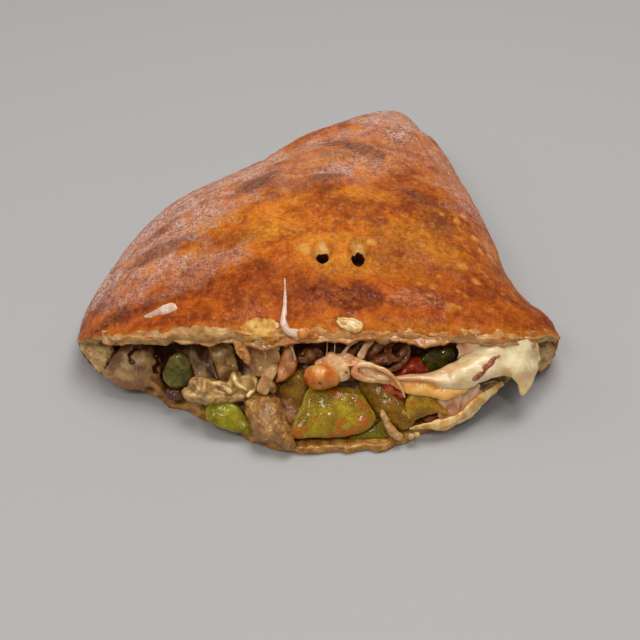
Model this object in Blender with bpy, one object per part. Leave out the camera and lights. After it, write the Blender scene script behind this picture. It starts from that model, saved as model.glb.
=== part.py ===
"""Half of a stromboli: a baked dough roll cut across, lying on its underside with the cut to the front.

Metres, +Z up, the cut faces -Y. The origin is under the middle of the roll, on the surface it lies on.
The crust is a hollow shell, the filling runs through it, and the pieces that stand out of the filling
at the cut are objects of their own.
"""

import math

import bmesh
import bpy
import numpy as np
from mathutils import Vector
from mathutils.bvhtree import BVHTree

# Driving dimensions. Along the roll, 0 is the cut and 1 is the closed end.
LEFT_EDGE = (
    # along the roll, x, y
    (0.00, -0.120, -0.070),
    (0.10, -0.119, -0.051),
    (0.24, -0.112, -0.024),
    (0.38, -0.102, 0.008),
    (0.52, -0.087, 0.037),
    (0.62, -0.068, 0.053),
    (0.72, -0.045, 0.069),
    (0.82, -0.020, 0.094),
    (0.90, 0.011, 0.116),
    (0.96, 0.033, 0.127),
    (1.00, 0.045, 0.130),
)
RIGHT_EDGE = (
    (0.00, 0.120, -0.070),
    (0.05, 0.117, -0.057),
    (0.11, 0.108, -0.047),
    (0.17, 0.100, -0.033),
    (0.30, 0.094, -0.006),
    (0.45, 0.0885, 0.021),
    (0.62, 0.0815, 0.053),
    (0.76, 0.074, 0.081),
    (0.88, 0.065, 0.106),
    (0.96, 0.056, 0.124),
    (1.00, 0.045, 0.130),
)
CROWN_HEIGHT = (
    (0.00, 0.050),
    (0.12, 0.058),
    (0.28, 0.063),
    (0.45, 0.0595),
    (0.60, 0.0525),
    (0.75, 0.046),
    (0.90, 0.035),
    (1.00, 0.030),
)
TONGUE_REACH = (
    # share of the width from the left, how far the bottom crust runs out past the straight cut
    (0.00, 0.000),
    (0.09, 0.017),
    (0.19, 0.029),
    (0.31, 0.048),
    (0.43, 0.062),
    (0.56, 0.0605),
    (0.66, 0.058),
    (0.73, 0.048),
    (0.80, 0.040),
    (0.88, 0.017),
    (0.95, 0.008),
    (1.00, 0.002),
)
ROOF_REACH = 0.034
REACH_FADE = 1.3
EDGE_HEIGHT = 0.013
LEFT_ROUNDNESS = ((0.0, 2.1), (0.15, 1.9), (0.4, 1.6), (0.7, 1.55), (1.0, 2.0))
RIGHT_ROUNDNESS = ((0.0, 2.4), (0.3, 2.8), (0.7, 2.6), (1.0, 2.0))
UNDER_ROUNDNESS = 3.2
UNDER_SPREAD = 1.1
END_ROUNDING = 0.14

SIDE_WALL = 0.009
FLOOR_WALL = 0.0035
ROOF_WALL = 0.007
HOLLOW_END = 0.93

DENT_DEPTH = 0.0011
RAGGED_LIP = 0.0012
RAGGED_LENGTH = 0.02

CRUST_COLUMNS = (30, 16)
CRUST_INNER_ROWS = (0.905, 0.88, 0.84, 0.78, 0.70, 0.60, 0.49, 0.38, 0.28, 0.19, 0.12, 0.07, 0.03, 0.0)
CRUST_OUTER_ROWS = (0.0, 0.012, 0.035, 0.07, 0.11, 0.16, 0.22, 0.28, 0.35, 0.42, 0.49, 0.56, 0.63, 0.70)
CRUST_OUTER_ROWS += (0.76, 0.81, 0.85, 0.89, 0.92, 0.95, 0.975, 0.991)
FILLING_COLUMNS = (22, 12)
FILLING_ROWS = (0.0, 0.06, 0.14, 0.25, 0.38, 0.52, 0.67, 0.80, 0.90, 0.96, 1.0)
FRONT_ROWS = (0.12, 0.32, 0.55, 0.75, 0.90)

VENTS = ((0.0020, -0.0602), (0.0193, -0.0605))
VENT_MOUTH = 0.0042
VENT_THROAT = 0.0017
VENT_TOP = 0.0650
VENT_BOTTOM = 0.0495

GAP = 0.0004
LINING_GAP = 0.0008
FILLING_GAP = 0.0014
HEADROOM = 0.0026
FRONT_LOW = 0.012
FRONT_HIGH = 0.087
FRONT_BULGE = 0.0105
FRONT_BUMPS = 0.0022
FILLING_END = 0.88
LINING_DEPTH = 0.0036
LINING_ARC = (24.0, 156.0)
LINING_ROWS = (0.0, 0.02, 0.045, 0.07)
FACING = 43.0

BAKES = {
    # name of the look, colour, roughness
    "baked_crust": ((0.47, 0.19, 0.06), 0.45),
    "filling_mass": ((0.52, 0.36, 0.20), 0.5),
    "melted_cheese": ((0.80, 0.62, 0.40), 0.35),
    "cream_cheese": ((0.83, 0.70, 0.45), 0.3),
    "cooked_pepper": ((0.28, 0.33, 0.03), 0.25),
    "dark_pepper": ((0.10, 0.12, 0.02), 0.25),
    "lime_pepper": ((0.42, 0.50, 0.03), 0.25),
    "cooked_onion": ((0.55, 0.42, 0.24), 0.35),
    "sausage_meat": ((0.42, 0.26, 0.16), 0.5),
    "sauce_glaze": ((0.72, 0.28, 0.10), 0.3),
    "tomato_flesh": ((0.50, 0.06, 0.03), 0.3),
    "mushroom_flesh": ((0.62, 0.42, 0.22), 0.4),
    "pink_ham": ((0.60, 0.28, 0.20), 0.4),
}

CHUNKS = {
    # lumps and slabs that stand out at the cut, from left to right
    "cheese_chunk_left": {
        "look": "cream_cheese",
        "centre": (-0.093, -0.087, 0.013),
        "size": (0.030, 0.023, 0.016),
        "turn": -8,
        "lump": 0.12,
        "seed": 31,
    },
    "pepper_dark_left": {
        "look": "dark_pepper",
        "centre": (-0.067, -0.098, 0.020),
        "size": (0.015, 0.019, 0.009),
        "turn": 12,
        "seed": 32,
    },
    "onion_film_left": {
        "look": "cooked_onion",
        "centre": (-0.050, -0.100, 0.030),
        "size": (0.017, 0.013, 0.004),
        "turn": -40,
        "seed": 33,
    },
    "onion_curls": {
        "look": "cooked_onion",
        "centre": (-0.044, -0.106, 0.018),
        "size": (0.023, 0.012, 0.010),
        "lump": 0.12,
        "seed": 34,
    },
    "pepper_lime": {
        "look": "lime_pepper",
        "centre": (-0.043, -0.117, 0.0088),
        "size": (0.023, 0.014, 0.005),
        "turn": -22,
        "tilt": 35,
        "seed": 35,
    },
    "cheese_drip_middle": {
        "look": "sauce_glaze",
        "centre": (-0.015, -0.104, 0.030),
        "size": (0.010, 0.017, 0.005),
        "turn": -14,
        "seed": 37,
    },
    "pepper_olive_middle": {
        "look": "cooked_pepper",
        "centre": (-0.0118, -0.1095, 0.0165),
        "size": (0.0125, 0.0225, 0.007),
        "turn": -14,
        "seed": 38,
    },
    "sausage_glazed": {
        "look": "sauce_glaze",
        "centre": (0.002, -0.112, 0.030),
        "size": (0.020, 0.016, 0.013),
        "turn": 14,
        "seed": 39,
    },
    "pepper_big": {
        "look": "cooked_pepper",
        "centre": (0.008, -0.120, 0.0135),
        "size": (0.036, 0.024, 0.006),
        "bend": 0.003,
        "square": 3.2,
        "seed": 40,
    },
    "pepper_strip": {
        "look": "cooked_pepper",
        "centre": (0.032, -0.114, 0.0145),
        "size": (0.030, 0.009, 0.004),
        "turn": -38,
        "square": 3.4,
        "seed": 41,
    },
    "pepper_leaf": {
        "look": "lime_pepper",
        "centre": (0.029, -0.1225, 0.0062),
        "size": (0.013, 0.007, 0.003),
        "turn": -10,
        "tilt": 30,
        "seed": 42,
    },
    "pepper_right": {
        "look": "cooked_pepper",
        "centre": (0.051, -0.111, 0.0125),
        "size": (0.019, 0.014, 0.005),
        "turn": -12,
        "square": 2.2,
        "seed": 43,
    },
    "tomato_back": {
        "look": "tomato_flesh",
        "centre": (0.045, -0.098, 0.0235),
        "size": (0.016, 0.011, 0.006),
        "seed": 44,
    },
    "tomato_front": {
        "look": "tomato_flesh",
        "centre": (0.033, -0.107, 0.0215),
        "size": (0.012, 0.009, 0.005),
        "turn": -30,
        "seed": 45,
    },
    "pepper_dark_right": {
        "look": "dark_pepper",
        "centre": (0.058, -0.095, 0.0265),
        "size": (0.016, 0.012, 0.006),
        "turn": 14,
        "seed": 46,
    },
    "ham_right": {
        "look": "pink_ham",
        "centre": (0.071, -0.106, 0.0110),
        "size": (0.024, 0.015, 0.005),
        "turn": 20,
        "seed": 47,
    },
    "mushroom_right": {
        "look": "mushroom_flesh",
        "centre": (0.084, -0.0965, 0.0100),
        "size": (0.012, 0.007, 0.004),
        "turn": 12,
        "seed": 48,
    },
}

ROPES = {
    # long pieces: the points they run through, then the radius at each
    "sausage": {
        "look": "sausage_meat",
        "path": (
            (-0.0265, -0.1075, 0.0205, 0.0050),
            (-0.0255, -0.1115, 0.0165, 0.0090),
            (-0.0235, -0.1155, 0.0140, 0.0088),
            (-0.0190, -0.1200, 0.0115, 0.0066),
            (-0.0145, -0.1245, 0.0078, 0.0028),
        ),
        "lump": 0.0007,
    },
    "mushroom_stick": {
        "look": "mushroom_flesh",
        "path": (
            (0.0320, -0.1215, 0.0125, 0.0020),
            (0.0345, -0.1235, 0.0095, 0.0022),
            (0.0380, -0.1250, 0.0068, 0.0024),
            (0.0410, -0.1245, 0.0066, 0.0020),
        ),
    },
    "cheese_loop": {
        "look": "cream_cheese",
        "path": (
            (0.0310, -0.1130, 0.0275, 0.0014),
            (0.0240, -0.1140, 0.0295, 0.0015),
            (0.0180, -0.1145, 0.0305, 0.0016),
            (0.0165, -0.1140, 0.0335, 0.0015),
            (0.0210, -0.1130, 0.0350, 0.0016),
            (0.0270, -0.1120, 0.0345, 0.0012),
        ),
    },
    "onion_ribbon": {
        "look": "cooked_onion",
        "path": (
            (0.0330, -0.0980, 0.0350, 0.0012),
            (0.0380, -0.0970, 0.0360, 0.0018),
            (0.0410, -0.0980, 0.0320, 0.0020),
            (0.0400, -0.1000, 0.0265, 0.0020),
            (0.0340, -0.1020, 0.0250, 0.0018),
            (0.0300, -0.1010, 0.0280, 0.0012),
        ),
    },
    "cheese_pull_right": {
        "look": "cream_cheese",
        "path": (
            (0.0400, -0.1145, 0.0285, 0.0018),
            (0.0490, -0.1120, 0.0275, 0.0026),
            (0.0580, -0.1090, 0.0285, 0.0042),
            (0.0670, -0.1060, 0.0310, 0.0046),
            (0.0770, -0.1020, 0.0320, 0.0048),
            (0.0870, -0.0970, 0.0300, 0.0056),
            (0.0950, -0.0955, 0.0255, 0.0062),
            (0.0990, -0.0960, 0.0180, 0.0056),
            (0.1000, -0.0970, 0.0105, 0.0042),
            (0.0995, -0.0970, 0.0050, 0.0016),
        ),
    },
}

LAID = {
    # cheese that has run onto the top crust: x, y and the radius there
    "cheese_string_top": (
        (-0.0150, -0.0790, 0.0006),
        (-0.0148, -0.0870, 0.0008),
        (-0.0145, -0.0940, 0.0012),
        (-0.0132, -0.0990, 0.0017),
        (-0.0085, -0.1010, 0.0017),
        (-0.0020, -0.1005, 0.0012),
    ),
    "cheese_smear_left": (
        (-0.0835, -0.0830, 0.0007),
        (-0.0780, -0.0835, 0.0011),
        (-0.0725, -0.0835, 0.0014),
        (-0.0680, -0.0820, 0.0012),
    ),
}
ONION_BIT_PLACE = (0.0135, -0.0985, 0.0020)
ONION_BIT_SHAPE = {"size": (0.0115, 0.0060, 0.0022), "turn": -12, "tilt": 30, "seed": 52}

CARVED_BY = {
    # a piece, and the neighbours that press into it
    "cheese_chunk_left": ("crust",),
    "cheese_lining": ("cheese_pull_right",),
    "pepper_leaf": ("pepper_big",),
    "pepper_lime": ("sausage",),
    "pepper_olive_middle": ("pepper_big", "sausage"),
    "pepper_strip": ("pepper_big",),
    "tomato_back": ("onion_ribbon", "pepper_dark_right"),
    "tomato_front": ("onion_ribbon", "pepper_strip"),
}


def through(knots, at):
    """Smooth values between (place, value, ...) knots."""
    knots = np.asarray(knots, float)
    at = np.asarray(at, float)
    place, value = knots[:, 0], knots[:, 1:]
    slope = np.gradient(value, place, axis=0)
    i = np.clip(np.searchsorted(place, at, side="right") - 1, 0, len(place) - 2)
    span = (place[i + 1] - place[i])[..., None]
    s = (at - place[i])[..., None] / span
    return (
        (1 + 2 * s) * (1 - s) ** 2 * value[i]
        + s * (1 - s) ** 2 * span * slope[i]
        + s * s * (3 - 2 * s) * value[i + 1]
        + s * s * (s - 1) * span * slope[i + 1]
    )


def wobble(points, wavelength, seed):
    """Smooth uneven values of about -1 to 1 at the points."""
    rng = np.random.default_rng(seed)
    points = np.asarray(points, float)
    total = np.zeros(points.shape[:-1])
    for _ in range(6):
        direction = rng.normal(size=points.shape[-1])
        direction /= np.linalg.norm(direction)
        scale = 2 * math.pi / (wavelength * rng.uniform(0.7, 1.5))
        total += np.sin(points @ direction * scale + rng.uniform(0, 2 * math.pi))
    return total / 3


def signed_power(value, power):
    return np.sign(value) * np.abs(value) ** power


def roll_surface(along, angle, side=0.0, floor=0.0, roof=0.0, closes=1.0):
    """Points of the roll at each (along, angle), with its walls taken in by side, floor and roof.

    Angle 0 is the right edge, a quarter turn is the crown, a half turn is the left edge.
    """
    along = np.asarray(along, float)
    angle = np.asarray(angle, float)
    left = through(LEFT_EDGE, along)
    right = through(RIGHT_EDGE, along)
    crown = through(CROWN_HEIGHT, along)[..., 0] - roof
    c, s = np.cos(angle), np.sin(angle)
    upper = s >= 0
    roundness = np.where(
        c > 0,
        through(RIGHT_ROUNDNESS, along)[..., 0],
        through(LEFT_ROUNDNESS, along)[..., 0],
    )
    roundness = np.where(upper, roundness, UNDER_ROUNDNESS)
    across = signed_power(c, 2 / roundness)
    rise = signed_power(s, 2 / roundness)
    share = ((1 + across) / 2)[..., None]
    width = np.linalg.norm(right - left, axis=-1, keepdims=True)
    inward = (right - left) / np.maximum(width, 1e-6)
    taken = np.minimum(side, 0.35 * width)
    flat = (left + inward * taken) * (1 - share) + (right - inward * taken) * share
    nearing = np.clip((along - closes + END_ROUNDING) / END_ROUNDING, 0, 1)
    taper = np.sqrt(1 - nearing**2)
    height_above = EDGE_HEIGHT + (crown - EDGE_HEIGHT) * rise * taper
    height_below = EDGE_HEIGHT + (EDGE_HEIGHT - floor) * UNDER_SPREAD * rise * taper
    height = np.where(upper, height_above, np.maximum(height_below, floor))
    tongue = through(TONGUE_REACH, share[..., 0])[..., 0]
    reach = np.where(upper, ROOF_REACH * np.clip(rise, 0, 1), tongue)
    x = flat[..., 0]
    y = flat[..., 1] - reach * (1 - along) ** REACH_FADE
    points = np.stack([x, y, height], -1)
    lift = np.clip(rise, 0, 1)
    points[..., 2] += DENT_DEPTH * wobble(points[..., :2], 0.045, 3) * lift * taper
    torn = np.exp(-along / RAGGED_LENGTH)
    points[..., 1] += RAGGED_LIP * wobble(points[..., :1], 0.017, 5) * torn
    points[..., 2] += 0.6 * RAGGED_LIP * wobble(points[..., :1], 0.023, 8) * torn * lift
    return points


def hollow_surface(along, angle, inset=0.0):
    return roll_surface(
        along,
        angle,
        side=SIDE_WALL + inset,
        floor=FLOOR_WALL + inset,
        roof=ROOF_WALL + inset,
        closes=HOLLOW_END,
    )


def column_angles(over, under):
    """Angles round the roll. The underside's are spread so that its columns lie evenly across it."""
    roof = np.linspace(0, math.pi, over + 1)[:-1]
    share = np.linspace(0, 1, under + 1)[:-1]
    across = -0.5 * (np.cos(math.pi * share) + 1 - 2 * share)
    floor = 2 * math.pi - np.arccos(signed_power(across, UNDER_ROUNDNESS / 2))
    return np.concatenate([roof, floor])


def bake_material(name):
    colour, roughness = BAKES[name]
    material = bpy.data.materials.new(name)
    material.use_nodes = True
    shader = material.node_tree.nodes["Principled BSDF"]
    shader.inputs["Base Color"].default_value = (*colour, 1)
    shader.inputs["Roughness"].default_value = roughness
    shader.inputs["Metallic"].default_value = 0.0
    material.diffuse_color = (*colour, 1)
    return material


def add_object(name, mesh, collection, look):
    obj = bpy.data.objects.new(name, mesh)
    collection.objects.link(obj)
    mesh.materials.append(bpy.data.materials.get(look) or bake_material(look))
    mesh.shade_smooth()
    return obj


def mesh_of(name, points, faces):
    mesh = bpy.data.meshes.new(name)
    mesh.from_pydata([tuple(p) for p in points], [], faces)
    mesh.validate()
    solid = bmesh.new()
    solid.from_mesh(mesh)
    bmesh.ops.recalc_face_normals(solid, faces=solid.faces)
    if solid.calc_volume(signed=True) < 0:
        bmesh.ops.reverse_faces(solid, faces=solid.faces)
    solid.to_mesh(mesh)
    solid.free()
    return mesh


def loft(name, rings, start, end):
    """A closed skin from the start point through the rings, each with the same count, to the end point."""
    count = len(rings[0])
    points = [start]
    for ring in rings:
        points.extend(ring)
    points.append(end)
    faces = []
    for k in range(count):
        faces.append((0, 1 + (k + 1) % count, 1 + k))
    for row in range(len(rings) - 1):
        here, there = 1 + row * count, 1 + (row + 1) * count
        for k in range(count):
            step = (k + 1) % count
            faces.append((here + k, here + step, there + step, there + k))
    last = 1 + (len(rings) - 1) * count
    for k in range(count):
        faces.append((last + k, last + (k + 1) % count, len(points) - 1))
    return mesh_of(name, points, faces)


def slab(name, upper, lower):
    """A closed sheet between two grids of points."""
    rows, columns = upper.shape[:2]
    points = np.concatenate([upper.reshape(-1, 3), lower.reshape(-1, 3)])
    below = rows * columns
    faces = []
    for r in range(rows - 1):
        for c in range(columns - 1):
            a = r * columns + c
            quad = (a, a + 1, a + columns + 1, a + columns)
            faces.append(quad)
            faces.append(tuple(below + k for k in reversed(quad)))
    for c in range(columns - 1):
        last = (rows - 1) * columns + c
        for a, b in ((c, c + 1), (last + 1, last)):
            faces.append((b, a, below + a, below + b))
    for r in range(rows - 1):
        here, there = r * columns, (r + 1) * columns
        for a, b in ((there, here), (there - 1, there + columns - 1)):
            faces.append((b, a, below + a, below + b))
    return mesh_of(name, points, faces)


def grown(obj, gap, collection):
    """A cutter in the shape of the object, larger all round by the gap."""
    mesh = obj.data.copy()
    mesh.name = "clear_" + obj.name
    shift = np.empty(len(mesh.vertices) * 3, np.float32)
    mesh.vertices.foreach_get("normal", shift)
    place = np.empty_like(shift)
    mesh.vertices.foreach_get("co", place)
    mesh.vertices.foreach_set("co", place + shift * gap)
    cutter = bpy.data.objects.new(mesh.name, mesh)
    cutter.matrix_world = obj.matrix_world
    collection.objects.link(cutter)
    cutter.hide_render = True
    cutter.display_type = "WIRE"
    return cutter


def cut(obj, cutter):
    modifier = obj.modifiers.new(cutter.name, "BOOLEAN")
    modifier.operation = "DIFFERENCE"
    modifier.object = cutter


def crust(collection, cutters):
    angles = column_angles(*CRUST_COLUMNS)
    inside = [hollow_surface(np.full_like(angles, row), angles) for row in CRUST_INNER_ROWS]
    outside = [roll_surface(np.full_like(angles, row), angles) for row in CRUST_OUTER_ROWS]
    innermost = hollow_surface(np.full_like(angles, HOLLOW_END - 0.005), angles).mean(axis=0)
    tip = roll_surface(np.full_like(angles, 1.0), angles).mean(axis=0)
    mesh = loft("crust", inside + outside, innermost, tip)
    obj = add_object("crust", mesh, collection, "baked_crust")
    for index, (x, y) in enumerate(VENTS):
        cut(obj, vent(f"vent_{index + 1}", x, y, cutters))
    return obj


def vent(name, x, y, cutters):
    """A tapered slit through the crown that lets steam out."""
    solid = bmesh.new()
    bmesh.ops.create_cone(
        solid,
        cap_ends=True,
        segments=14,
        radius1=VENT_THROAT,
        radius2=VENT_MOUTH,
        depth=VENT_TOP - VENT_BOTTOM,
    )
    mesh = bpy.data.meshes.new(name)
    solid.to_mesh(mesh)
    solid.free()
    cutter = bpy.data.objects.new(name, mesh)
    cutter.location = (x, y, (VENT_TOP + VENT_BOTTOM) / 2)
    cutter.scale = (1.0, 1.15, 1.0)
    cutters.objects.link(cutter)
    cutter.hide_render = True
    cutter.display_type = "WIRE"
    return cutter


def filling(collection):
    """What runs through the roll: onion, cheese and sausage baked together, sloping back at the cut."""
    angles = column_angles(*FILLING_COLUMNS)
    height = (1 + np.sin(angles)) / 2
    first = FRONT_LOW + (FRONT_HIGH - FRONT_LOW) * height**1.2
    rings = []
    for share in FILLING_ROWS:
        along = first + (FILLING_END - first) * share
        low = HEADROOM * np.clip(np.sin(angles), 0, 1) * np.clip(1 - along / 0.45, 0, 1)
        ring = hollow_surface(along, angles, inset=FILLING_GAP)
        ring[:, 2] -= low
        rings.append(ring)
    edge = rings[0]
    outward = np.array([0.0, -0.7, 0.7])
    middle = edge.mean(axis=0)
    front = []
    for shrink in FRONT_ROWS:
        ring = middle + (edge - middle) * shrink
        bulge = (1 - shrink**2) * (FRONT_BULGE + FRONT_BUMPS * wobble(ring, 0.022, 11))
        front.append(ring + bulge[:, None] * outward)
    middle = middle + FRONT_BULGE * outward
    last = hollow_surface(np.full_like(angles, FILLING_END + 0.005), angles, FILLING_GAP)
    mesh = loft("filling", front + rings, middle, last.mean(axis=0))
    return add_object("filling", mesh, collection, "filling_mass")


def cheese_lining(collection):
    """Melted cheese and soft dough under the upper lip, with drips along its front edge."""
    angles = np.radians(np.linspace(*LINING_ARC, 27))
    rows = np.asarray(LINING_ROWS)
    along = np.repeat(rows[:, None], len(angles), axis=1)
    angle = np.repeat(angles[None, :], len(rows), axis=0)
    upper = hollow_surface(along, angle, inset=LINING_GAP)
    edge_fade = np.sin(np.linspace(0, math.pi, len(angles))) ** 0.35
    depth = 0.0009 + (LINING_DEPTH - 0.0009) * edge_fade[None, :] * (1 - 0.7 * along / rows[-1])
    drip = np.clip(wobble(angles[:, None], 0.30, 21), 0, 1) * 0.0045 * edge_fade
    depth[0] += drip
    depth[1] += 0.4 * drip
    lower = hollow_surface(along, angle, inset=LINING_GAP)
    lower[..., 2] -= depth
    lower[0, :, 1] -= 0.0006
    mesh = slab("cheese_lining", upper, lower)
    return add_object("cheese_lining", mesh, collection, "melted_cheese")


def chunk(
    name, collection, look, centre, size, seed, turn=0, tilt=FACING, square=2.6, bend=0.0, lump=0.07
):
    """A rounded lump or slab. Its own Z points at the viewer of the cut when tilt is FACING."""
    solid = bmesh.new()
    bmesh.ops.create_uvsphere(solid, u_segments=12, v_segments=7, radius=1.0)
    unit = np.array([v.co for v in solid.verts])
    box = np.abs(unit) ** square
    unit = unit / box.sum(axis=1, keepdims=True) ** (1 / square)
    unit = unit * (1 + lump * wobble(unit, 1.9, seed)[:, None])
    shape = unit * np.array(size) / 2
    shape[:, 2] -= bend * unit[:, 0] ** 2
    for vertex, place in zip(solid.verts, shape):
        vertex.co = place
    mesh = bpy.data.meshes.new(name)
    solid.to_mesh(mesh)
    solid.free()
    obj = add_object(name, mesh, collection, look)
    obj.location = centre
    obj.rotation_mode = "ZYX"
    obj.rotation_euler = (math.radians(tilt), 0, math.radians(turn))
    return obj


def strand(name, collection, look, path, lump=0.0):
    """A rope along the path, whose rows hold a point and a radius, with lumps of that height on it."""
    knots = [(index, *row) for index, row in enumerate(path)]
    smooth = through(knots, np.linspace(0, len(path) - 1, 2 * len(path) - 1))
    curve = bpy.data.curves.new(name, "CURVE")
    curve.dimensions = "3D"
    curve.bevel_depth = 1.0
    curve.bevel_resolution = 2
    curve.use_fill_caps = True
    spline = curve.splines.new("POLY")
    spline.points.add(len(smooth) - 1)
    for point, (x, y, z, radius) in zip(spline.points, smooth):
        point.co = (x, y, z, 1)
        point.radius = radius
    guide = bpy.data.objects.new(name + "_path", curve)
    collection.objects.link(guide)
    bpy.context.view_layer.update()
    graph = bpy.context.evaluated_depsgraph_get()
    mesh = bpy.data.meshes.new_from_object(guide.evaluated_get(graph))
    mesh.name = name
    solid = bmesh.new()
    solid.from_mesh(mesh)
    bmesh.ops.remove_doubles(solid, verts=solid.verts, dist=0.00001)
    solid.normal_update()
    heights = lump * wobble(np.array([v.co for v in solid.verts]), 0.011, 17)
    for vertex, height in zip(solid.verts, heights):
        vertex.co += vertex.normal * height
    solid.to_mesh(mesh)
    solid.free()
    mesh.materials.clear()
    bpy.data.objects.remove(guide)
    return add_object(name, mesh, collection, look)


def top_finder(shell):
    """A function that gives the place at some lift over the top crust."""
    roof = BVHTree.FromObject(shell, bpy.context.evaluated_depsgraph_get())

    def on_top(x, y, lift):
        place, normal, _, _ = roof.ray_cast(Vector((x, y, 0.2)), Vector((0, 0, -1)))
        return tuple(place + normal * lift)

    return on_top


def main():
    for old in list(bpy.data.objects):
        bpy.data.objects.remove(old)
    parts = bpy.data.collections.new("stromboli")
    cutters = bpy.data.collections.new("cutters")
    bpy.context.scene.collection.children.link(parts)
    bpy.context.scene.collection.children.link(cutters)

    shell = crust(parts, cutters)
    core = filling(parts)
    cheese_lining(parts)
    standing = [chunk(name, parts, **shape) for name, shape in CHUNKS.items()]
    standing += [strand(name, parts, **shape) for name, shape in ROPES.items()]

    bpy.context.view_layer.update()
    clear = {obj.name: grown(obj, GAP, cutters) for obj in standing}
    clear["crust"] = grown(shell, GAP, cutters)
    for obj in standing:
        cut(core, clear[obj.name])
    for name, neighbours in CARVED_BY.items():
        for neighbour in neighbours:
            cut(bpy.data.objects[name], clear[neighbour])

    on_top = top_finder(shell)
    for name, trail in LAID.items():
        path = [(*on_top(x, y, radius + GAP), radius) for x, y, radius in trail]
        strand(name, parts, "cream_cheese", path)
    chunk("onion_bit_lip", parts, "cooked_onion", on_top(*ONION_BIT_PLACE), **ONION_BIT_SHAPE)


main()
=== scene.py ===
"""Looks of half a stromboli: a browned hollow crust, and the filling that spills at its cut.

Places and sizes are in millimetres in the part's own frame (+Z up, the cut faces -Y), and MM turns them
into metres when a mesh is made. The shape of the roll repeats the part's own outline. A shape is its
points, its triangles, and its marks, which are values at the points that the materials use by name.
Where noise, rough or cells is called, the last two numbers are how far apart its bumps are and its seed.
"""

import itertools
import math

import bmesh
import bpy
import numpy as np
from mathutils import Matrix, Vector
from mathutils.bvhtree import BVHTree
from mathutils.kdtree import KDTree


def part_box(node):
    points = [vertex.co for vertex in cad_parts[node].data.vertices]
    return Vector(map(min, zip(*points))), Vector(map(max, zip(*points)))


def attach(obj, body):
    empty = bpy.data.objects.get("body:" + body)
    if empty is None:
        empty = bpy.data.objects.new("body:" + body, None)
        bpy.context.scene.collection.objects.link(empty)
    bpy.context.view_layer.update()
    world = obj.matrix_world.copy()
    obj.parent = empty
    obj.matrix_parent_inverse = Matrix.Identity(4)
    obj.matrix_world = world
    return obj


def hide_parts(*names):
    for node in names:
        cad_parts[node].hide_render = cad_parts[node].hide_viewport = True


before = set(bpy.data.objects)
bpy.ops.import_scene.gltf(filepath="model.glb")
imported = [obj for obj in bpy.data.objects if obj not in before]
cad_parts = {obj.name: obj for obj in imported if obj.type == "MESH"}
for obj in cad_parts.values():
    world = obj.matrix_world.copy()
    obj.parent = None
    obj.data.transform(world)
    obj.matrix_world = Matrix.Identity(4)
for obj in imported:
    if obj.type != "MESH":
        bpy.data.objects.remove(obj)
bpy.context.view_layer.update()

MM = 0.001

# The roll. Along it, 0 is the cut and 1 is the closed end. The edges are rows of (along, x, y).
LEFT_EDGE = (
    (0.0, -120, -70), (0.1, -119, -51), (0.24, -112, -24), (0.38, -102, 8), (0.52, -87, 37), (0.62, -68, 53),
    (0.72, -45, 69), (0.82, -20, 94), (0.9, 11, 116), (0.96, 33, 127), (1.0, 45, 130),
)
RIGHT_EDGE = (
    (0.0, 120, -70), (0.05, 117, -57), (0.11, 108, -47), (0.17, 100, -33), (0.3, 94, -6), (0.45, 88.5, 21),
    (0.62, 81.5, 53), (0.76, 74, 81), (0.88, 65, 106), (0.96, 56, 124), (1.0, 45, 130),
)
CROWN_HEIGHT = ((0, 50), (0.12, 58), (0.28, 63), (0.45, 59.5), (0.6, 52.5), (0.75, 46), (0.9, 35), (1, 30))
# Share of the width from the left, and how far the bottom crust runs out past the straight cut.
TONGUE_REACH = (
    (0.0, 0), (0.09, 17), (0.19, 29), (0.31, 48), (0.43, 62), (0.56, 60.5), (0.66, 58), (0.73, 48), (0.8, 40),
    (0.88, 17), (0.95, 8), (1.0, 2),
)
LEFT_ROUNDNESS = ((0.0, 2.1), (0.15, 1.9), (0.4, 1.6), (0.7, 1.55), (1.0, 2.0))
RIGHT_ROUNDNESS = ((0.0, 2.4), (0.3, 2.8), (0.7, 2.6), (1.0, 2.0))
UNDER_ROUNDNESS = 3.2
UNDER_SPREAD = 1.1
ROOF_REACH = 34
REACH_FADE = 1.3
EDGE_HEIGHT = 13
END_ROUNDING = 0.14
SIDE_WALL = 9
FLOOR_WALL = 3.5
ROOF_WALL = 7
HOLLOW_END = 0.93
DENT_DEPTH = 1.1
RAGGED_LIP = 1.2
RAGGED_LENGTH = 0.02
ROLL_LENGTH = 230
VENTS = ((2.0, -60.2), (19.3, -60.5))

# The camera looks down at the cut. Across, up and out are the directions as seen from it.
CAMERA_PLACE = (0.001, -0.570706, 0.458017)
CAMERA_TILT = 49.35
CAMERA_LENS = 75.66
LOOK_DOWN = math.radians(90 - CAMERA_TILT)
UP = np.array((0.0, math.sin(LOOK_DOWN), math.cos(LOOK_DOWN)))
OUT = np.array((0.0, -math.cos(LOOK_DOWN), math.sin(LOOK_DOWN)))
CAMERA_ACROSS = CAMERA_PLACE[0] / MM
CAMERA_UP = float(np.array(CAMERA_PLACE) @ UP) / MM
CAMERA_OUT = float(np.array(CAMERA_PLACE) @ OUT) / MM
CUT_OUT = 98.0

# How ropes and lumps face the viewer of the cut.
FACING = 43.0
FACE = np.array((0.0, -math.sin(math.radians(FACING)), math.cos(math.radians(FACING))))


# ---------------------------------------------------------------- numbers over space


def through(knots, at):
    """Smooth values between (place, value, ...) knots."""
    knots = np.asarray(knots, float)
    at = np.asarray(at, float)
    place, value = knots[:, 0], knots[:, 1:]
    slope = np.gradient(value, place, axis=0)
    i = np.clip(np.searchsorted(place, at, side="right") - 1, 0, len(place) - 2)
    span = (place[i + 1] - place[i])[..., None]
    s = (at - place[i])[..., None] / span
    return (
        (1 + 2 * s) * (1 - s) ** 2 * value[i]
        + s * (1 - s) ** 2 * span * slope[i]
        + s * s * (3 - 2 * s) * value[i + 1]
        + s * s * (s - 1) * span * slope[i + 1]
    )


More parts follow.
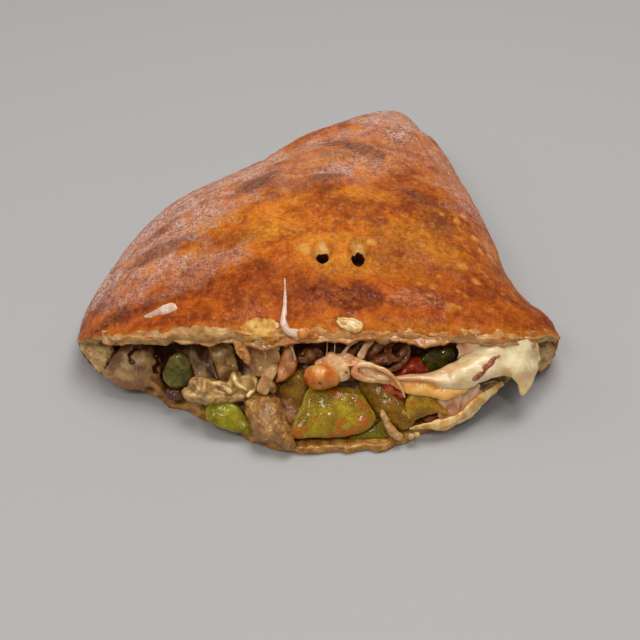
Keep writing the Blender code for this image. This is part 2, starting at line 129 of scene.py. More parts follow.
def wobble(points, wavelength, seed):
    """Smooth uneven values of about -1 to 1 at the points, the part's own."""
    rng = np.random.default_rng(seed)
    total = np.zeros(points.shape[:-1])
    for _ in range(6):
        direction = unit(rng.normal(size=points.shape[-1]))
        scale = 2 * math.pi / (wavelength * rng.uniform(0.7, 1.5))
        total += np.sin(points @ direction * scale + rng.uniform(0, 2 * math.pi))
    return total / 3


def lattice(cell, seed):
    """A repeatable value from 0 to 1 for each whole-number place."""
    mixed = cell.astype(np.int64) @ np.array([73856093, 19349663, 83492791]) + seed * 1013904223
    mixed &= 0xFFFFFFFF
    mixed = ((mixed ^ (mixed >> 15)) * 2246822519) & 0xFFFFFFFF
    mixed = ((mixed ^ (mixed >> 13)) * 3266489917) & 0xFFFFFFFF
    return (mixed ^ (mixed >> 16)) / 0xFFFFFFFF


def noise(points, size, seed):
    """Smooth values of about -1 to 1, with bumps about size apart."""
    spot = np.asarray(points, float) / size
    cell = np.floor(spot)
    part = spot - cell
    part = part**3 * (part * (6 * part - 15) + 10)
    total = 0.0
    for corner in itertools.product((0, 1), repeat=3):
        weight = np.prod(np.where(corner, part, 1 - part), axis=-1)
        total = total + weight * lattice(cell + corner, seed)
    return 2 * total - 1


TURN = np.array(((0.36, 0.48, -0.8), (-0.8, 0.6, 0.0), (0.48, 0.64, 0.6)))


def rough(points, size, seed):
    """Noise with finer noise on it, about -1 to 1."""
    total, weight = 0.0, 1.0
    for octave in range(3):
        total = total + weight * noise(points, size, seed + 31 * octave)
        points = points @ TURN
        size, weight = size * 0.5, weight * 0.5
    return total


def cells(points, size, seed):
    """Distances, in sizes, to the nearest and the next of scattered spots, and a value for the nearest."""
    spot = np.asarray(points, float) / size
    cell = np.floor(spot)
    near = np.full(spot.shape[:-1], 9.0)
    after = near.copy()
    own = np.zeros_like(near)
    for step in itertools.product((-1, 0, 1), repeat=3):
        there = cell + step
        jitter = np.stack([lattice(there, seed + k) for k in (1, 2, 3)], -1)
        distance = np.linalg.norm(there + jitter - spot, axis=-1)
        closer = distance < near
        after = np.where(closer, near, np.minimum(after, distance))
        own = np.where(closer, lattice(there, seed + 4), own)
        near = np.minimum(near, distance)
    return near, after, own


def smooth(value, low, high):
    """0 below low, 1 above high, and smooth between. Low may be above high."""
    s = np.clip((value - low) / (high - low), 0, 1)
    return s * s * (3 - 2 * s)


def signed_power(value, power):
    return np.sign(value) * np.abs(value) ** power


def unit(vector):
    return vector / np.linalg.norm(vector, axis=-1, keepdims=True)


# ---------------------------------------------------------------- the roll


def roll_surface(along, angle, side=0.0, floor=0.0, roof=0.0, closes=1.0):
    """Points of the roll at each (along, angle), with its walls taken in by side, floor and roof.

    Angle 0 is the right edge, a quarter turn is the crown, a half turn is the left edge.
    """
    left = through(LEFT_EDGE, along)
    right = through(RIGHT_EDGE, along)
    crown = through(CROWN_HEIGHT, along)[..., 0] - roof
    c, s = np.cos(angle), np.sin(angle)
    upper = s >= 0
    sides = (through(table, along)[..., 0] for table in (RIGHT_ROUNDNESS, LEFT_ROUNDNESS))
    roundness = np.where(c > 0, *sides)
    roundness = np.where(upper, roundness, UNDER_ROUNDNESS)
    across = signed_power(c, 2 / roundness)
    rise = signed_power(s, 2 / roundness)
    share = ((1 + across) / 2)[..., None]
    width = np.linalg.norm(right - left, axis=-1, keepdims=True)
    inward = (right - left) / np.maximum(width, 0.001)
    taken = np.minimum(side, 0.35 * width)
    flat = (left + inward * taken) * (1 - share) + (right - inward * taken) * share
    nearing = np.clip((along - closes + END_ROUNDING) / END_ROUNDING, 0, 1)
    taper = np.sqrt(1 - nearing**2)
    height_above = EDGE_HEIGHT + (crown - EDGE_HEIGHT) * rise * taper
    height_below = EDGE_HEIGHT + (EDGE_HEIGHT - floor) * UNDER_SPREAD * rise * taper
    height = np.where(upper, height_above, np.maximum(height_below, floor))
    tongue = through(TONGUE_REACH, share[..., 0])[..., 0]
    lift = np.clip(rise, 0, 1)
    reach = np.where(upper, ROOF_REACH * lift, tongue)
    points = np.stack([flat[..., 0], flat[..., 1] - reach * (1 - along) ** REACH_FADE, height], -1)
    points[..., 2] += DENT_DEPTH * wobble(points[..., :2], 45, 3) * lift * taper
    torn = np.exp(-along / RAGGED_LENGTH)
    points[..., 1] += RAGGED_LIP * wobble(points[..., :1], 17, 5) * torn
    points[..., 2] += 0.6 * RAGGED_LIP * wobble(points[..., :1], 23, 8) * torn * lift
    return points


def hollow_surface(along, angle, inset=0.0):
    """Points of the inside of the crust, or of a surface inset from it."""
    return roll_surface(along, angle, SIDE_WALL + inset, FLOOR_WALL + inset, ROOF_WALL + inset, HOLLOW_END)


def even_angles(surface, along, start, stop, count):
    """Angles from start up to stop that lie evenly along the surface's line there."""
    even = np.linspace(start, stop, 400)
    flat = np.linspace(math.cos(start), math.cos(stop), 400)
    crowded = np.arccos(np.clip(signed_power(flat, 1.25), -1, 1))
    crowded = crowded if stop <= math.pi else 2 * math.pi - crowded
    dense = np.unique(np.clip(np.concatenate([even, crowded]), start, stop))
    line = surface(np.full_like(dense, along), dense)
    length = np.concatenate([[0], np.cumsum(np.linalg.norm(np.diff(line, axis=0), axis=1))])
    return np.interp(np.linspace(0, length[-1], count + 1)[:-1], length, dense)


def ring(surface, along, over, under):
    """(angles, points) of one closed line round the roll."""
    above = even_angles(surface, along, 0, math.pi, over)
    angles = np.concatenate([above, even_angles(surface, along, math.pi, 2 * math.pi, under)])
    return angles, surface(np.full_like(angles, along), angles)


# ---------------------------------------------------------------- meshes


def grid_faces(rows, columns, closed=False):
    """Triangles between the neighbours in a grid of points, joined round when closed is true."""
    index = np.arange(rows * columns).reshape(rows, columns)
    if closed:
        index = np.column_stack([index, index[:, 0]])
    a, b, c, d = index[:-1, :-1], index[:-1, 1:], index[1:, 1:], index[1:, :-1]
    first = np.stack([a, b, c], -1).reshape(-1, 3)
    second = np.stack([a, c, d], -1).reshape(-1, 3)
    return np.concatenate([first, second])


def outward(points, faces):
    """The faces, turned so that a closed shape's faces point out."""
    a, b, c = (points[faces[:, k]] for k in range(3))
    volume = np.einsum("ij,ij->i", a, np.cross(b, c)).sum()
    return faces if volume > 0 else faces[:, ::-1]


def tube(rows, first, last):
    """A closed shape through rows of points, each a closed line, with a point at either end."""
    count, columns = len(rows), len(rows[0])
    points = np.concatenate([np.reshape(rows, (-1, 3)), [first, last]])
    line = np.arange(columns)
    after = np.roll(line, -1)
    start = np.stack([after, line, np.full(columns, len(points) - 2)], -1)
    end = np.stack([np.full(columns, len(points) - 1), line, after], -1)
    end[:, 1:] += (count - 1) * columns
    faces = np.concatenate([grid_faces(count, columns, closed=True), start, end])
    return points, outward(points, faces)


def normals(points, faces):
    """A unit vector at each point, square to the faces round it."""
    a, b, c = (points[faces[:, k]] for k in range(3))
    across = np.cross(b - a, c - a)
    total = np.zeros_like(points)
    for k, axis in itertools.product(range(3), repeat=2):
        total[:, axis] += np.bincount(faces[:, k], across[:, axis], len(points))
    return total / np.maximum(np.linalg.norm(total, axis=1, keepdims=True), 1e-9)


def raised(points, faces, height):
    """The points, moved out along the surface by the height."""
    return points + normals(points, faces) * height[:, None]


def dented(points, faces, dents, seed=0):
    """The points with unevenness added, as rows of (size apart, height, seed)."""
    height = np.zeros(len(points))
    for apart, tall, dent_seed in dents:
        height += tall * noise(points + 50 * seed, apart, dent_seed)
    return raised(points, faces, height)


def joined(shapes):
    """One shape from several."""
    starts = np.cumsum([0] + [len(shape[0]) for shape in shapes])
    marks = {}
    for name in sorted({name for shape in shapes for name in shape[2]}):
        marks[name] = np.concatenate([shape[2].get(name, np.zeros(len(shape[0]))) for shape in shapes])
    points = np.concatenate([shape[0] for shape in shapes])
    return points, np.concatenate([shape[1] + start for shape, start in zip(shapes, starts)]), marks


def new_object(name, points, faces):
    mesh = bpy.data.meshes.new(name)
    mesh.from_pydata((np.asarray(points) * MM).tolist(), [], np.asarray(faces).tolist())
    obj = bpy.data.objects.new(name, mesh)
    bpy.context.scene.collection.objects.link(obj)
    return obj


def piece(name, look, slot, node, *shapes):
    """A piece of the object from one or more shapes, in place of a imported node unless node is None."""
    points, faces, marks = joined(shapes)
    obj = new_object(name, points, faces)
    for mark, values in marks.items():
        layer = obj.data.attributes.new(mark, "FLOAT", "POINT")
        layer.data.foreach_set("value", np.asarray(values, np.float32))
    obj.data.materials.append(look)
    obj.data.validate()
    obj.data.shade_smooth()
    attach(obj, "root")
    if node:
        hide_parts(node)


# ---------------------------------------------------------------- materials


class Value:
    """What comes out of a node, which can be added to, taken from or multiplied by another."""

    def __init__(self, look, socket):
        self.look = look
        self.socket = socket

    def __add__(self, other):
        return self.look.sum("ADD", self, other)

    def __sub__(self, other):
        return self.look.sum("SUBTRACT", self, other)

    def __rsub__(self, other):
        return self.look.sum("SUBTRACT", other, self)

    def __mul__(self, other):
        return self.look.sum("MULTIPLY", self, other)

    def between(self, low, high, to_low=0.0, to_high=1.0):
        """The value, spread smoothly from to_low at low to to_high at high."""
        made = self.look.node("ShaderNodeMapRange", interpolation_type="SMOOTHSTEP")
        for label, value in (("Value", self), ("From Min", low), ("From Max", high), ("To Min", to_low)):
            self.look.feed(made.inputs[label], value)
        self.look.feed(made.inputs["To Max"], to_high)
        return Value(self.look, made.outputs["Result"])

    def ramp(self, *stops):
        """The colour at the value, from stops of (value, colour)."""
        made = self.look.node("ShaderNodeValToRGB")
        self.look.feed(made.inputs["Fac"], self)
        elements = made.color_ramp.elements
        for _ in stops[2:]:
            elements.new(0.5)
        for element, (place, colour) in zip(elements, stops):
            element.position = place
            element.color = (*colour, 1)
        return Value(self.look, made.outputs["Color"])

    def mix(self, share, other, blend="MIX"):
        """The colour, with that share of another colour."""
        made = self.look.node("ShaderNodeMix", data_type="RGBA", blend_type=blend)
        for socket, value in (("Factor", share), (6, self), (7, other)):
            self.look.feed(made.inputs[socket], value)
        return Value(self.look, made.outputs[2])


class Look:
    """A material under construction. Most calls add one node and return what comes out of it."""

    def __init__(self, name, **sockets):
        self.material = bpy.data.materials.new(name)
        self.material.use_nodes = True
        self.tree = self.material.node_tree
        self.shader = self.tree.nodes["Principled BSDF"]
        self.shader.inputs["Subsurface Scale"].default_value = 2 * MM
        for label, value in sockets.items():
            self.shader.inputs[label.replace("_", " ")].default_value = value
        self.where = self.node("ShaderNodeTexCoord").outputs["Object"]

    def node(self, kind, **settings):
        made = self.tree.nodes.new(kind)
        for key, value in settings.items():
            setattr(made, key, value)
        return made

    def feed(self, socket, value):
        if isinstance(value, Value):
            self.tree.links.new(value.socket, socket)
        elif isinstance(value, tuple):
            socket.default_value = (*value, 1)
        else:
            socket.default_value = value

    def set(self, label, value):
        self.feed(self.shader.inputs[label], value)

    def relief(self, normal):
        """Gives the surface and its gloss the same fine relief."""
        self.set("Normal", normal)
        self.set("Coat Normal", normal)

    def mark(self, name):
        return Value(self, self.node("ShaderNodeAttribute", attribute_name=name).outputs["Fac"])

    def stretch(self, scale, turn):
        """Places for a noise that is drawn out, then turned by so many degrees."""
        made = self.node("ShaderNodeMapping")
        self.tree.links.new(self.where, made.inputs["Vector"])
        made.inputs["Scale"].default_value = scale
        made.inputs["Rotation"].default_value = (0, 0, math.radians(turn))
        return made.outputs["Vector"]

    def noise(self, apart, detail=3.0, rough=0.55, twist=0.0, place=None):
        """Noise from 0 to 1, with bumps about that many millimetres apart."""
        made = self.node("ShaderNodeTexNoise")
        self.tree.links.new(place or self.where, made.inputs["Vector"])
        for label, value in (("Scale", 1 / (apart * MM)), ("Detail", detail), ("Roughness", rough)):
            made.inputs[label].default_value = value
        made.inputs["Distortion"].default_value = twist
        return Value(self, made.outputs["Fac"])

    def cells(self, apart, result="Distance"):
        """The distance to the nearest of scattered spots, or as "Color" a value of its own for each."""
        made = self.node("ShaderNodeTexVoronoi", feature="F1")
        self.tree.links.new(self.where, made.inputs["Vector"])
        made.inputs["Scale"].default_value = 1 / (apart * MM)
        return Value(self, made.outputs[result])

    def sum(self, operation, a, b):
        made = self.node("ShaderNodeMath", operation=operation)
        self.feed(made.inputs[0], a)
        self.feed(made.inputs[1], b)
        return Value(self, made.outputs[0])

    def most(self, a, b):
        return self.sum("MAXIMUM", a, b)

    def bump(self, height, depth, strength=1.0, after=None):
        """A normal from the height, whose 0 to 1 stands for that many millimetres."""
        made = self.node("ShaderNodeBump")
        made.inputs["Distance"].default_value = depth * MM
        self.feed(made.inputs["Strength"], strength)
        self.feed(made.inputs["Height"], height)
        if after:
            self.feed(made.inputs["Normal"], after)
        return Value(self, made.outputs["Normal"])


# ---------------------------------------------------------------- the crust

CRUST_OVER = 360
CRUST_UNDER = 60
LIP_ROWS = (0.06, 0.17, 0.29, 0.42, 0.55, 0.68, 0.8, 0.92)
INNER_ROWS = (
    0.0, 0.004, 0.008, 0.013, 0.02, 0.03, 0.045, 0.065, 0.09, 0.12, 0.16,
    0.21, 0.27, 0.34, 0.42, 0.5, 0.58, 0.66, 0.74, 0.8, 0.86, 0.9,
)
FINE_STEP = 0.0033
PLAIN_STEP = 0.006

# Raised folds of the dough: their line in x and y, height, width, and how much steeper the front is.
FOLDS = (
    (((-16, -20), (-9, -13), (1, -2), (10, -1), (18, -7)), 1.7, 5.5, 0.55),
    (((-52, -30), (-44, -26), (-36, -25), (-24, -21)), 1.5, 4.0, 0.6),
    (((-12, -24), (-2, -22), (11, -25), (24, -20)), 0.9, 3.0, 0.5),
    (((2, -33), (8, -32), (15, -34)), 0.7, 2.2, 0.5),
    (((-62, -8), (-48, 4), (-30, 12), (-16, 22)), 1.1, 7.0, 0.3),
    (((-96, -42), (-80, -36), (-62, -32)), 0.9, 5.0, 0.4),
    (((-92, -22), (-78, -13), (-62, -8)), 0.8, 4.5, 0.4),
    (((-4, 44), (12, 52), (30, 44), (44, 30)), 1.2, 7.5, 0.3),
    (((24, 78), (38, 72), (52, 74), (66, 84)), 0.9, 5.0, 0.3),
    (((16, 92), (34, 96), (52, 92)), 0.7, 4.0, 0.3),
    (((58, 8), (66, -8), (78, -22)), 0.8, 6.0, 0.3),
    (((-30, -60), (-12, -66), (4, -78), (30, -80)), 0.8, 7.0, 0.3),
    (((56, -70), (74, -62), (94, -64)), 0.9, 6.0, 0.3),
)
# Blisters: x, y, radius, height.
BLISTERS = (
    (62, -87, 3.6, 1.0), (66.5, -86, 1.4, 0.5), (55, -75, 2.0, 0.7), (48, -74, 1.4, 0.6), (76, -67, 2.2, 0.7),
    (70, -58, 2.6, 0.6), (58, -67, 1.1, 0.5), (61, -60, 1.1, 0.4), (70, -22, 2.4, 0.7), (62, -21, 1.6, 0.6),
    (74, -14, 2.0, 0.6), (79, -31, 2.6, 0.6), (86, -38, 2.0, 0.5), (-5.5, -57, 4.0, 2.2), (26, -52, 2.6, 0.6),
    (37, 60, 2.4, 0.5), (-34, 34, 2.6, 0.6), (-38, 20, 2.2, 0.5),
)
# Patches: x, y, half length, half width, turn of the long side in degrees, strength.
PATCHES = {
    "charred": (
        (20, 47, 21, 7, -36, 0.95), (-31, 9, 16, 9, 40, 1.0), (2, 3, 14, 6.5, 46, 0.8),
        (-78, -39, 18, 6.5, 22, 0.95), (-80, -14, 13, 4.5, 34, 0.8), (-108, -66, 8, 5, 54, 0.5),
        (-101, -79, 12, 4.5, 22, 0.85), (-36, 52, 9, 5, 40, 0.6), (52, -10, 10, 6, -62, 0.45),
        (62, -32, 12, 8, -50, 0.35),
    ),
    "browned": (
        (15, -84, 21, 9, -4, 1.0), (-60, -71, 22, 8, 14, 0.85), (-30, -68, 13, 7, 20, 0.55),
        (56, -18, 18, 13, -60, 0.85), (86, -68, 15, 6, -30, 0.7), (14, -20, 26, 7, -6, 0.45),
        (-66, -38, 20, 9, 24, 0.5), (-104, -56, 16, 10, 52, 0.6), (20, 28, 26, 8, -20, 0.4),
        (-20, -6, 12, 10, 10, 0.45), (104, -62, 14, 7, -40, 0.6), (-4, -86, 14, 7, 0, 0.4),
        (60, -58, 52, 30, -20, 0.3), (-6, -80, 44, 18, 0, 0.28), (-46, -50, 20, 9, 24, 0.45),
        (-94, -30, 16, 6, 40, 0.5), (-84, -79, 20, 4.5, 14, 0.8), (4, -9, 13, 8, 60, 0.75),
        (60, -36, 15, 8, -60, 0.7), (96, -52, 12, 6, -50, 0.5),
    ),
    "golden": (
        (11, -66, 26, 9, -3, 1.0), (10, -52, 22, 7, 0, 0.6), (54, -50, 30, 14, -18, 0.55),
        (-50, -24, 16, 8, 30, 0.7), (-30, -44, 14, 9, 10, 0.65), (-56, 20, 14, 5, 40, 0.8),
        (-64, 2, 12, 5, 36, 0.6), (-78, -50, 22, 5, 18, 0.6), (-34, 34, 10, 6, 40, 0.6),
        (0, 24, 20, 8, 34, 0.6), (20, -10, 20, 6, -8, 0.5), (36, 26, 20, 8, -40, 0.35),
        (40, -66, 20, 9, -10, 0.6),
    ),
    "floured": (
        (44, 98, 36, 32, 10, 1.0), (14, 66, 38, 20, 30, 0.55), (-84, 4, 50, 28, 52, 1.0),
        (-46, 36, 42, 22, 46, 0.9), (-104, -36, 34, 18, 66, 1.0), (-74, -22, 40, 24, 40, 0.75),
        (-44, 6, 34, 18, 44, 0.5), (-88, -60, 34, 13, 24, 0.8), (-58, -62, 30, 10, 20, 0.6),
        (-84, -64, 24, 8, 20, 0.6), (76, 30, 18, 60, 14, 0.5), (16, 22, 26, 9, 20, 0.65),
        (42, 62, 20, 16, -30, 0.45), (14, 32, 56, 34, 30, 0.34), (-28, 20, 40, 20, 40, 0.34),
    ),
    "wet": (
        (46, -84, 14, 7, -10, 1.0), (-32, -92, 12, 6, 0, 0.7), (-88, -84, 12, 5, 10, 0.6),
        (60, -60, 20, 12, -20, 0.3),
    ),
}
# Across, and how far the bare dough reaches up from the lip.
BARE_REACH = (
    (-112, 0), (-102, 0.6), (-95, 1.2), (-84, 1.5), (-70, 2.2), (-57, 3.4), (-46, 2.6), (-38, 1.2),
    (-30, 0.5), (-18, 0.5), (-6, 0.8), (6, 0), (60, 0), (72, 0.8), (95, 1.0), (104, 0.5),
)
# The middle of the large torn patch at the lip, across and from the lip.
TORN_PATCH = (-27, 3.4)
# A vent's slit: its radius, how much longer than wide it is, the height below which painted shade starts in
# it, and how much lower the painted shade is at its darkest.
SLIT_RADIUS = 5.5
SLIT_LENGTH = 1.4
SLIT_TOP = 62.0
SLIT_FADE = 6.0
# Points this far from any point before the cut are the cut's own.
NEW_POINT = 0.02


def fold_height(points):
    """Height of the raised folds at the points."""
    total = np.zeros(len(points))
    for line, height, width, steep in FOLDS:
        knots = [(k, *spot) for k, spot in enumerate(line)]
        path = through(knots, np.linspace(0, len(line) - 1, 12 * len(line)))
        away = points[:, None, :2] - path[None, :, :]
        far = np.linalg.norm(away, axis=2)
        nearest = far.argmin(axis=1)
        behind = np.take_along_axis(away[:, :, 1], nearest[:, None], 1)[:, 0]
        reach = width * np.where(behind < 0, 1 - steep, 1 + steep)
        end = np.sin(math.pi * np.clip(nearest / (len(path) - 1), 0.04, 0.96)) ** 0.5
        total += height * end * np.exp(-((far.min(axis=1) / reach) ** 2))
    return total


def crust_grid():
    """The plain crust with, at its points, the angle, the place along, and how far out of the torn edge."""
    steps = [0.0]
    while steps[-1] < 0.992:
        grow = float(smooth(steps[-1], 0.05, 0.16))
        steps.append(steps[-1] + FINE_STEP + (PLAIN_STEP - FINE_STEP) * grow)
    outside = [ring(roll_surface, min(row, 0.996), CRUST_OVER, CRUST_UNDER) for row in steps]
    inside = [ring(hollow_surface, row, CRUST_OVER, CRUST_UNDER) for row in reversed(INNER_ROWS)]
    first_angles, first = outside[0]
    lip = [(first_angles, inside[-1][1] + (first - inside[-1][1]) * share) for share in LIP_ROWS]
    angles, rings = zip(*inside, *lip, *outside)
    count = CRUST_OVER + CRUST_UNDER
    end = roll_surface(np.full(count, 1.0), angles[-1]).mean(axis=0)
    points, faces = tube(rings, rings[0].mean(axis=0), end)
    along = np.repeat([*reversed(INNER_ROWS), *[0.0] * len(lip), *steps], count)
    skin = np.repeat([*[0.0] * len(inside), *LIP_ROWS, *[1.0] * len(outside)], count)
    return points, faces, np.concatenate([*angles, [0, 0]]), np.append(along, [1, 1]), np.append(skin, [0, 1])


def tear_edge(points, along, skin, roof):
    """Makes the torn edge wander forward, back, up and down."""
    x, y, z = points.T
    outer, inner = skin >= 1, skin <= 0
    above = smooth(z, 0.6, 5.0)
    torn = np.where(outer, np.exp(-along / 0.018), np.where(inner, np.exp(-along / 0.04), 1.0))
    line = np.stack([x, 0.3 * z, np.zeros(len(points))], -1)
    y -= torn * (1.5 * rough(line, 13, 5) + 0.7 * noise(line, 3.6, 6) * roof)
    z += torn * above * (0.9 * rough(line, 9, 7) + 0.3 * noise(points, 3.0, 8)) * roof
    z += torn * above * (1 - roof) * (0.5 + 0.8 * rough(line, 15, 9))
    bulge = np.sin(math.pi * np.clip(skin, 0, 1)) ** 0.8 * ~outer * ~inner
    y -= bulge * (0.7 + 0.8 * roof)
    rounded = outer * np.exp(-along / 0.006)
    z -= 0.9 * rounded * roof
    y += 0.4 * rounded
    return above


def skin_relief(points, roof):
    """Height of the baked skin's relief, and 1 on its blisters."""
    x, y, _ = points.T
    height = 0.75 * noise(points, 26, 21) + 0.5 * noise(points, 11, 22) + 0.3 * rough(points, 4.2, 23)
    height += 0.16 * rough(points, 2.2, 24) + 1.15 * fold_height(points) * roof
    near, _, own = cells(points, 6.5, 26)
    blister = (own > 0.62) * smooth(near, 0.3, 0.08) * (0.25 + 0.75 * smooth(x, 30, 70))
    height += 0.2 * blister
    uneven, ragged = 0.18 * noise(points, 2.4, 25), 0.2 * noise(points, 1.8, 27)
    for middle_x, middle_y, radius, tall in BLISTERS:
        far = np.hypot(x - middle_x, y - middle_y) / radius
        height += 0.65 * tall * np.clip(1 - (far + uneven) ** 2, 0, 1) * roof
        blister = np.maximum(blister, smooth(far + ragged, 1.1, 0.7))
    for vent_x, vent_y in VENTS:
        far = np.hypot((x - vent_x) / 4.2, (y - vent_y - 2.4) / 7.0) + 0.12 * noise(points, 5, 28)
        height += roof * (0.65 * np.exp(-((far - 1.45) ** 2) / 0.12) - 4.0 * np.exp(-(far**2.6) * 1.1))
    return height, blister


def bare_dough(points, along, roof):
    """Where the skin at the upper lip is torn off and the dough shows."""
    from_lip = along * ROLL_LENGTH + 1.1 * rough(points, 6, 36) + 0.5 * noise(points, 2, 37)
    reach = np.interp(points[:, 0], *np.array(BARE_REACH, float).T)
    bare = smooth(from_lip, reach + 0.5, reach - 0.5)
    patch = np.hypot((points[:, 0] - TORN_PATCH[0]) / 9.0, (from_lip - TORN_PATCH[1]) / 3.2)
    return np.maximum(bare, smooth(patch, 1.1, 0.85)) * roof


def patches(points, ragged, table):
    """Soft-edged patches on the roll, strongest in their middles, with uneven outlines."""
    total = np.zeros(len(points))
    for x, y, half_length, half_width, turn, strength in table:
        c, s = math.cos(math.radians(turn)), math.sin(math.radians(turn))
        dx, dy = points[:, 0] - x, points[:, 1] - y
        far = np.hypot((c * dx + s * dy) / half_length, (c * dy - s * dx) / half_width)
        total = np.maximum(total, strength * smooth(far + ragged, 1.2, 0.5))
    return total


def crust_marks(points, angle, along, outer, roof):
    """Where the crust is charred, browned, golden, floured, wet or oily, and where its vents are."""
    x, y, z = points.T
    ragged = 0.35 * rough(points, 11, 71) + 0.18 * rough(points, 3.4, 72)
    marks = {name: patches(points, ragged, table) for name, table in PATCHES.items()}
    right = smooth(angle, 0.3, 0.05) * smooth(along, 0.16, 0.3)
    low = smooth(z, 26, 8) * smooth(along, 0.06, 0.25)
    marks["floured"] = np.maximum(marks["floured"], 0.6 * np.maximum(right, low))
    edge = smooth(along, 0.03, 0.0) * outer
    marks["golden"] = np.maximum(marks["golden"], edge * (0.5 + 0.3 * smooth(x, -60, -20)))
    marks["wet"] = np.maximum(marks["wet"], 0.6 * smooth(z, 9, 3) * (y < -60))
    # Darker towards the front.
    marks["deep_bake"] = smooth(y + 9 * noise(points, 22, 44), -46, -72)
    marks["vent"] = np.zeros(len(points))
    for vent_x, vent_y in VENTS:
        far = np.hypot((x - vent_x) / 0.74, (y - vent_y - 2.6) / 1.6) + 0.8 * noise(points, 3, 35)
        marks["vent"] = np.maximum(marks["vent"], smooth(far, 5.4, 3.4))
    far = np.hypot((x - TORN_PATCH[0]) / 10, (along * ROLL_LENGTH - TORN_PATCH[1]) / 6)
    marks["yellow"] = smooth(far + 0.25 * noise(points, 3, 39), 1.1, 0.7) * roof
    marks["oily"] = roof * smooth(x + 6 * noise(points, 14, 38), -30, -12) * smooth(x, 100, 84)
    marks["under"] = 1 - roof
    return marks


def crust_shape():
    """The crust before its vents are cut, porous where it is torn."""
    points, faces, angle, along, skin = crust_grid()
    outer, inner = (skin >= 1).astype(float), skin <= 0
    roof = smooth(np.sin(angle), -0.05, 0.25)
    above = tear_edge(points, along, skin, roof)
    height, blister = skin_relief(points, roof)
    near = cells(points, 3.1, 31)[0] + 0.12 * noise(points, 1.6, 34)
    bare = bare_dough(points, along, outer * roof)
    patch = np.hypot((points[:, 0] - TORN_PATCH[0]) / 11, along * ROLL_LENGTH / 9)
    spongy = np.maximum(0.12, smooth(patch, 1.2, 0.8) * roof)
    pores = spongy * (0.5 * rough(points, 2.4, 32) - 1.5 * smooth(near, 0.42, 0.12))
    pores += 0.35 * noise(points, 6, 33)
    open_crumb = np.maximum(1 - outer, bare)
    height = outer * height * (0.25 + 0.75 * above) + open_crumb * pores * np.exp(-along / 0.2)
    points = raised(points, faces, height * smooth(points[:, 2], 0.0, 2.5))
    points[:, 2] = np.maximum(points[:, 2], 0.0)
    marks = crust_marks(points, angle, along, outer, roof)
    marks["blister"] = blister * outer
    marks["crumb"] = np.maximum(np.clip(1 - skin, 0, 1) ** 0.5, bare)
    # Painted shade deeper inside the hollow.
    marks["inside"] = inner * smooth(along, 0.006, 0.03)
    # Painted shade in the pores of the torn crumb.
    marks["pore"] = smooth(near, 0.45, 0.15) * open_crumb * np.clip(1.4 * spongy, 0, 1)
    return points, faces, marks


def vent_cutter(x, y, seed):
    """An uneven slit through the crown, wider above."""
    heights = (36.0, 48.0, 54.0, 56.5, 58.5, 60.0, 61.5, 64.0, 70.0)
    radii = (3.0, 3.0, 3.1, 3.2, 3.3, 3.5, 3.8, 4.4, 6.0)
    theta = np.linspace(0, 2 * math.pi, 72, endpoint=False)
    rows = []
    for tall, radius in zip(heights, radii):
        circle = np.stack([0.95 * np.cos(theta), 1.45 * np.sin(theta), np.full_like(theta, tall / 9)], -1)
        wide = radius * (1 + 0.22 * noise(1.6 * circle, 1.0, seed) + 0.05 * noise(4 * circle, 1.0, seed))
        level = np.full_like(theta, tall)
        rows.append(np.stack([x + circle[:, 0] * wide, y + circle[:, 1] * wide, level], -1))
    return tube(rows, (x, y, heights[0]), (x, y, heights[-1]))


def cut_mesh(points, faces):
    """(points, triangles) of the crust after the vents are cut through it."""
    body = new_object("crust_uncut", points, faces)
    helpers = [body]
    for index, (x, y) in enumerate(VENTS):
        cutter = new_object(f"slit_{index}", *vent_cutter(x, y, 41 + index))
        helpers.append(cutter)
        modifier = body.modifiers.new(cutter.name, "BOOLEAN")
        modifier.operation = "DIFFERENCE"
        modifier.object = cutter
    bpy.context.view_layer.update()
    done = body.evaluated_get(bpy.context.evaluated_depsgraph_get()).to_mesh()
    done.calc_loop_triangles()
    cut_points = np.empty(len(done.vertices) * 3)
    done.vertices.foreach_get("co", cut_points)
    cut_faces = np.empty(len(done.loop_triangles) * 3, np.int32)
    done.loop_triangles.foreach_get("vertices", cut_faces)
    for helper in helpers:
        bpy.data.objects.remove(helper)
    return cut_points.reshape(-1, 3) / MM, cut_faces.reshape(-1, 3)


def crust_with_vents():
    """The crust with its vents, its marks carried over from the nearest points before the cut."""
    points, faces, marks = crust_shape()
    cut_points, cut_faces = cut_mesh(points, faces)
    tree = KDTree(len(points))
    for index, point in enumerate(points):
        tree.insert(point, index)
    tree.balance()
    near = np.array([tree.find(point)[1] for point in cut_points])
    marks = {name: values[near] for name, values in marks.items()}
    fresh = np.linalg.norm(points[near] - cut_points, axis=1) > NEW_POINT
    x, y, z = cut_points.T
    marks["slit"] = np.zeros(len(cut_points))
    for vent_x, vent_y in VENTS:
        inside = np.hypot(x - vent_x, (y - vent_y) / SLIT_LENGTH) < SLIT_RADIUS
        marks["slit"] = np.maximum(marks["slit"], inside * fresh)
    # Painted shade deep in the vents' slits, darkest low down.
    marks["deep"] = marks["slit"] * np.clip((SLIT_TOP - z) / SLIT_FADE, 0, 1)
    return cut_points, cut_faces, marks


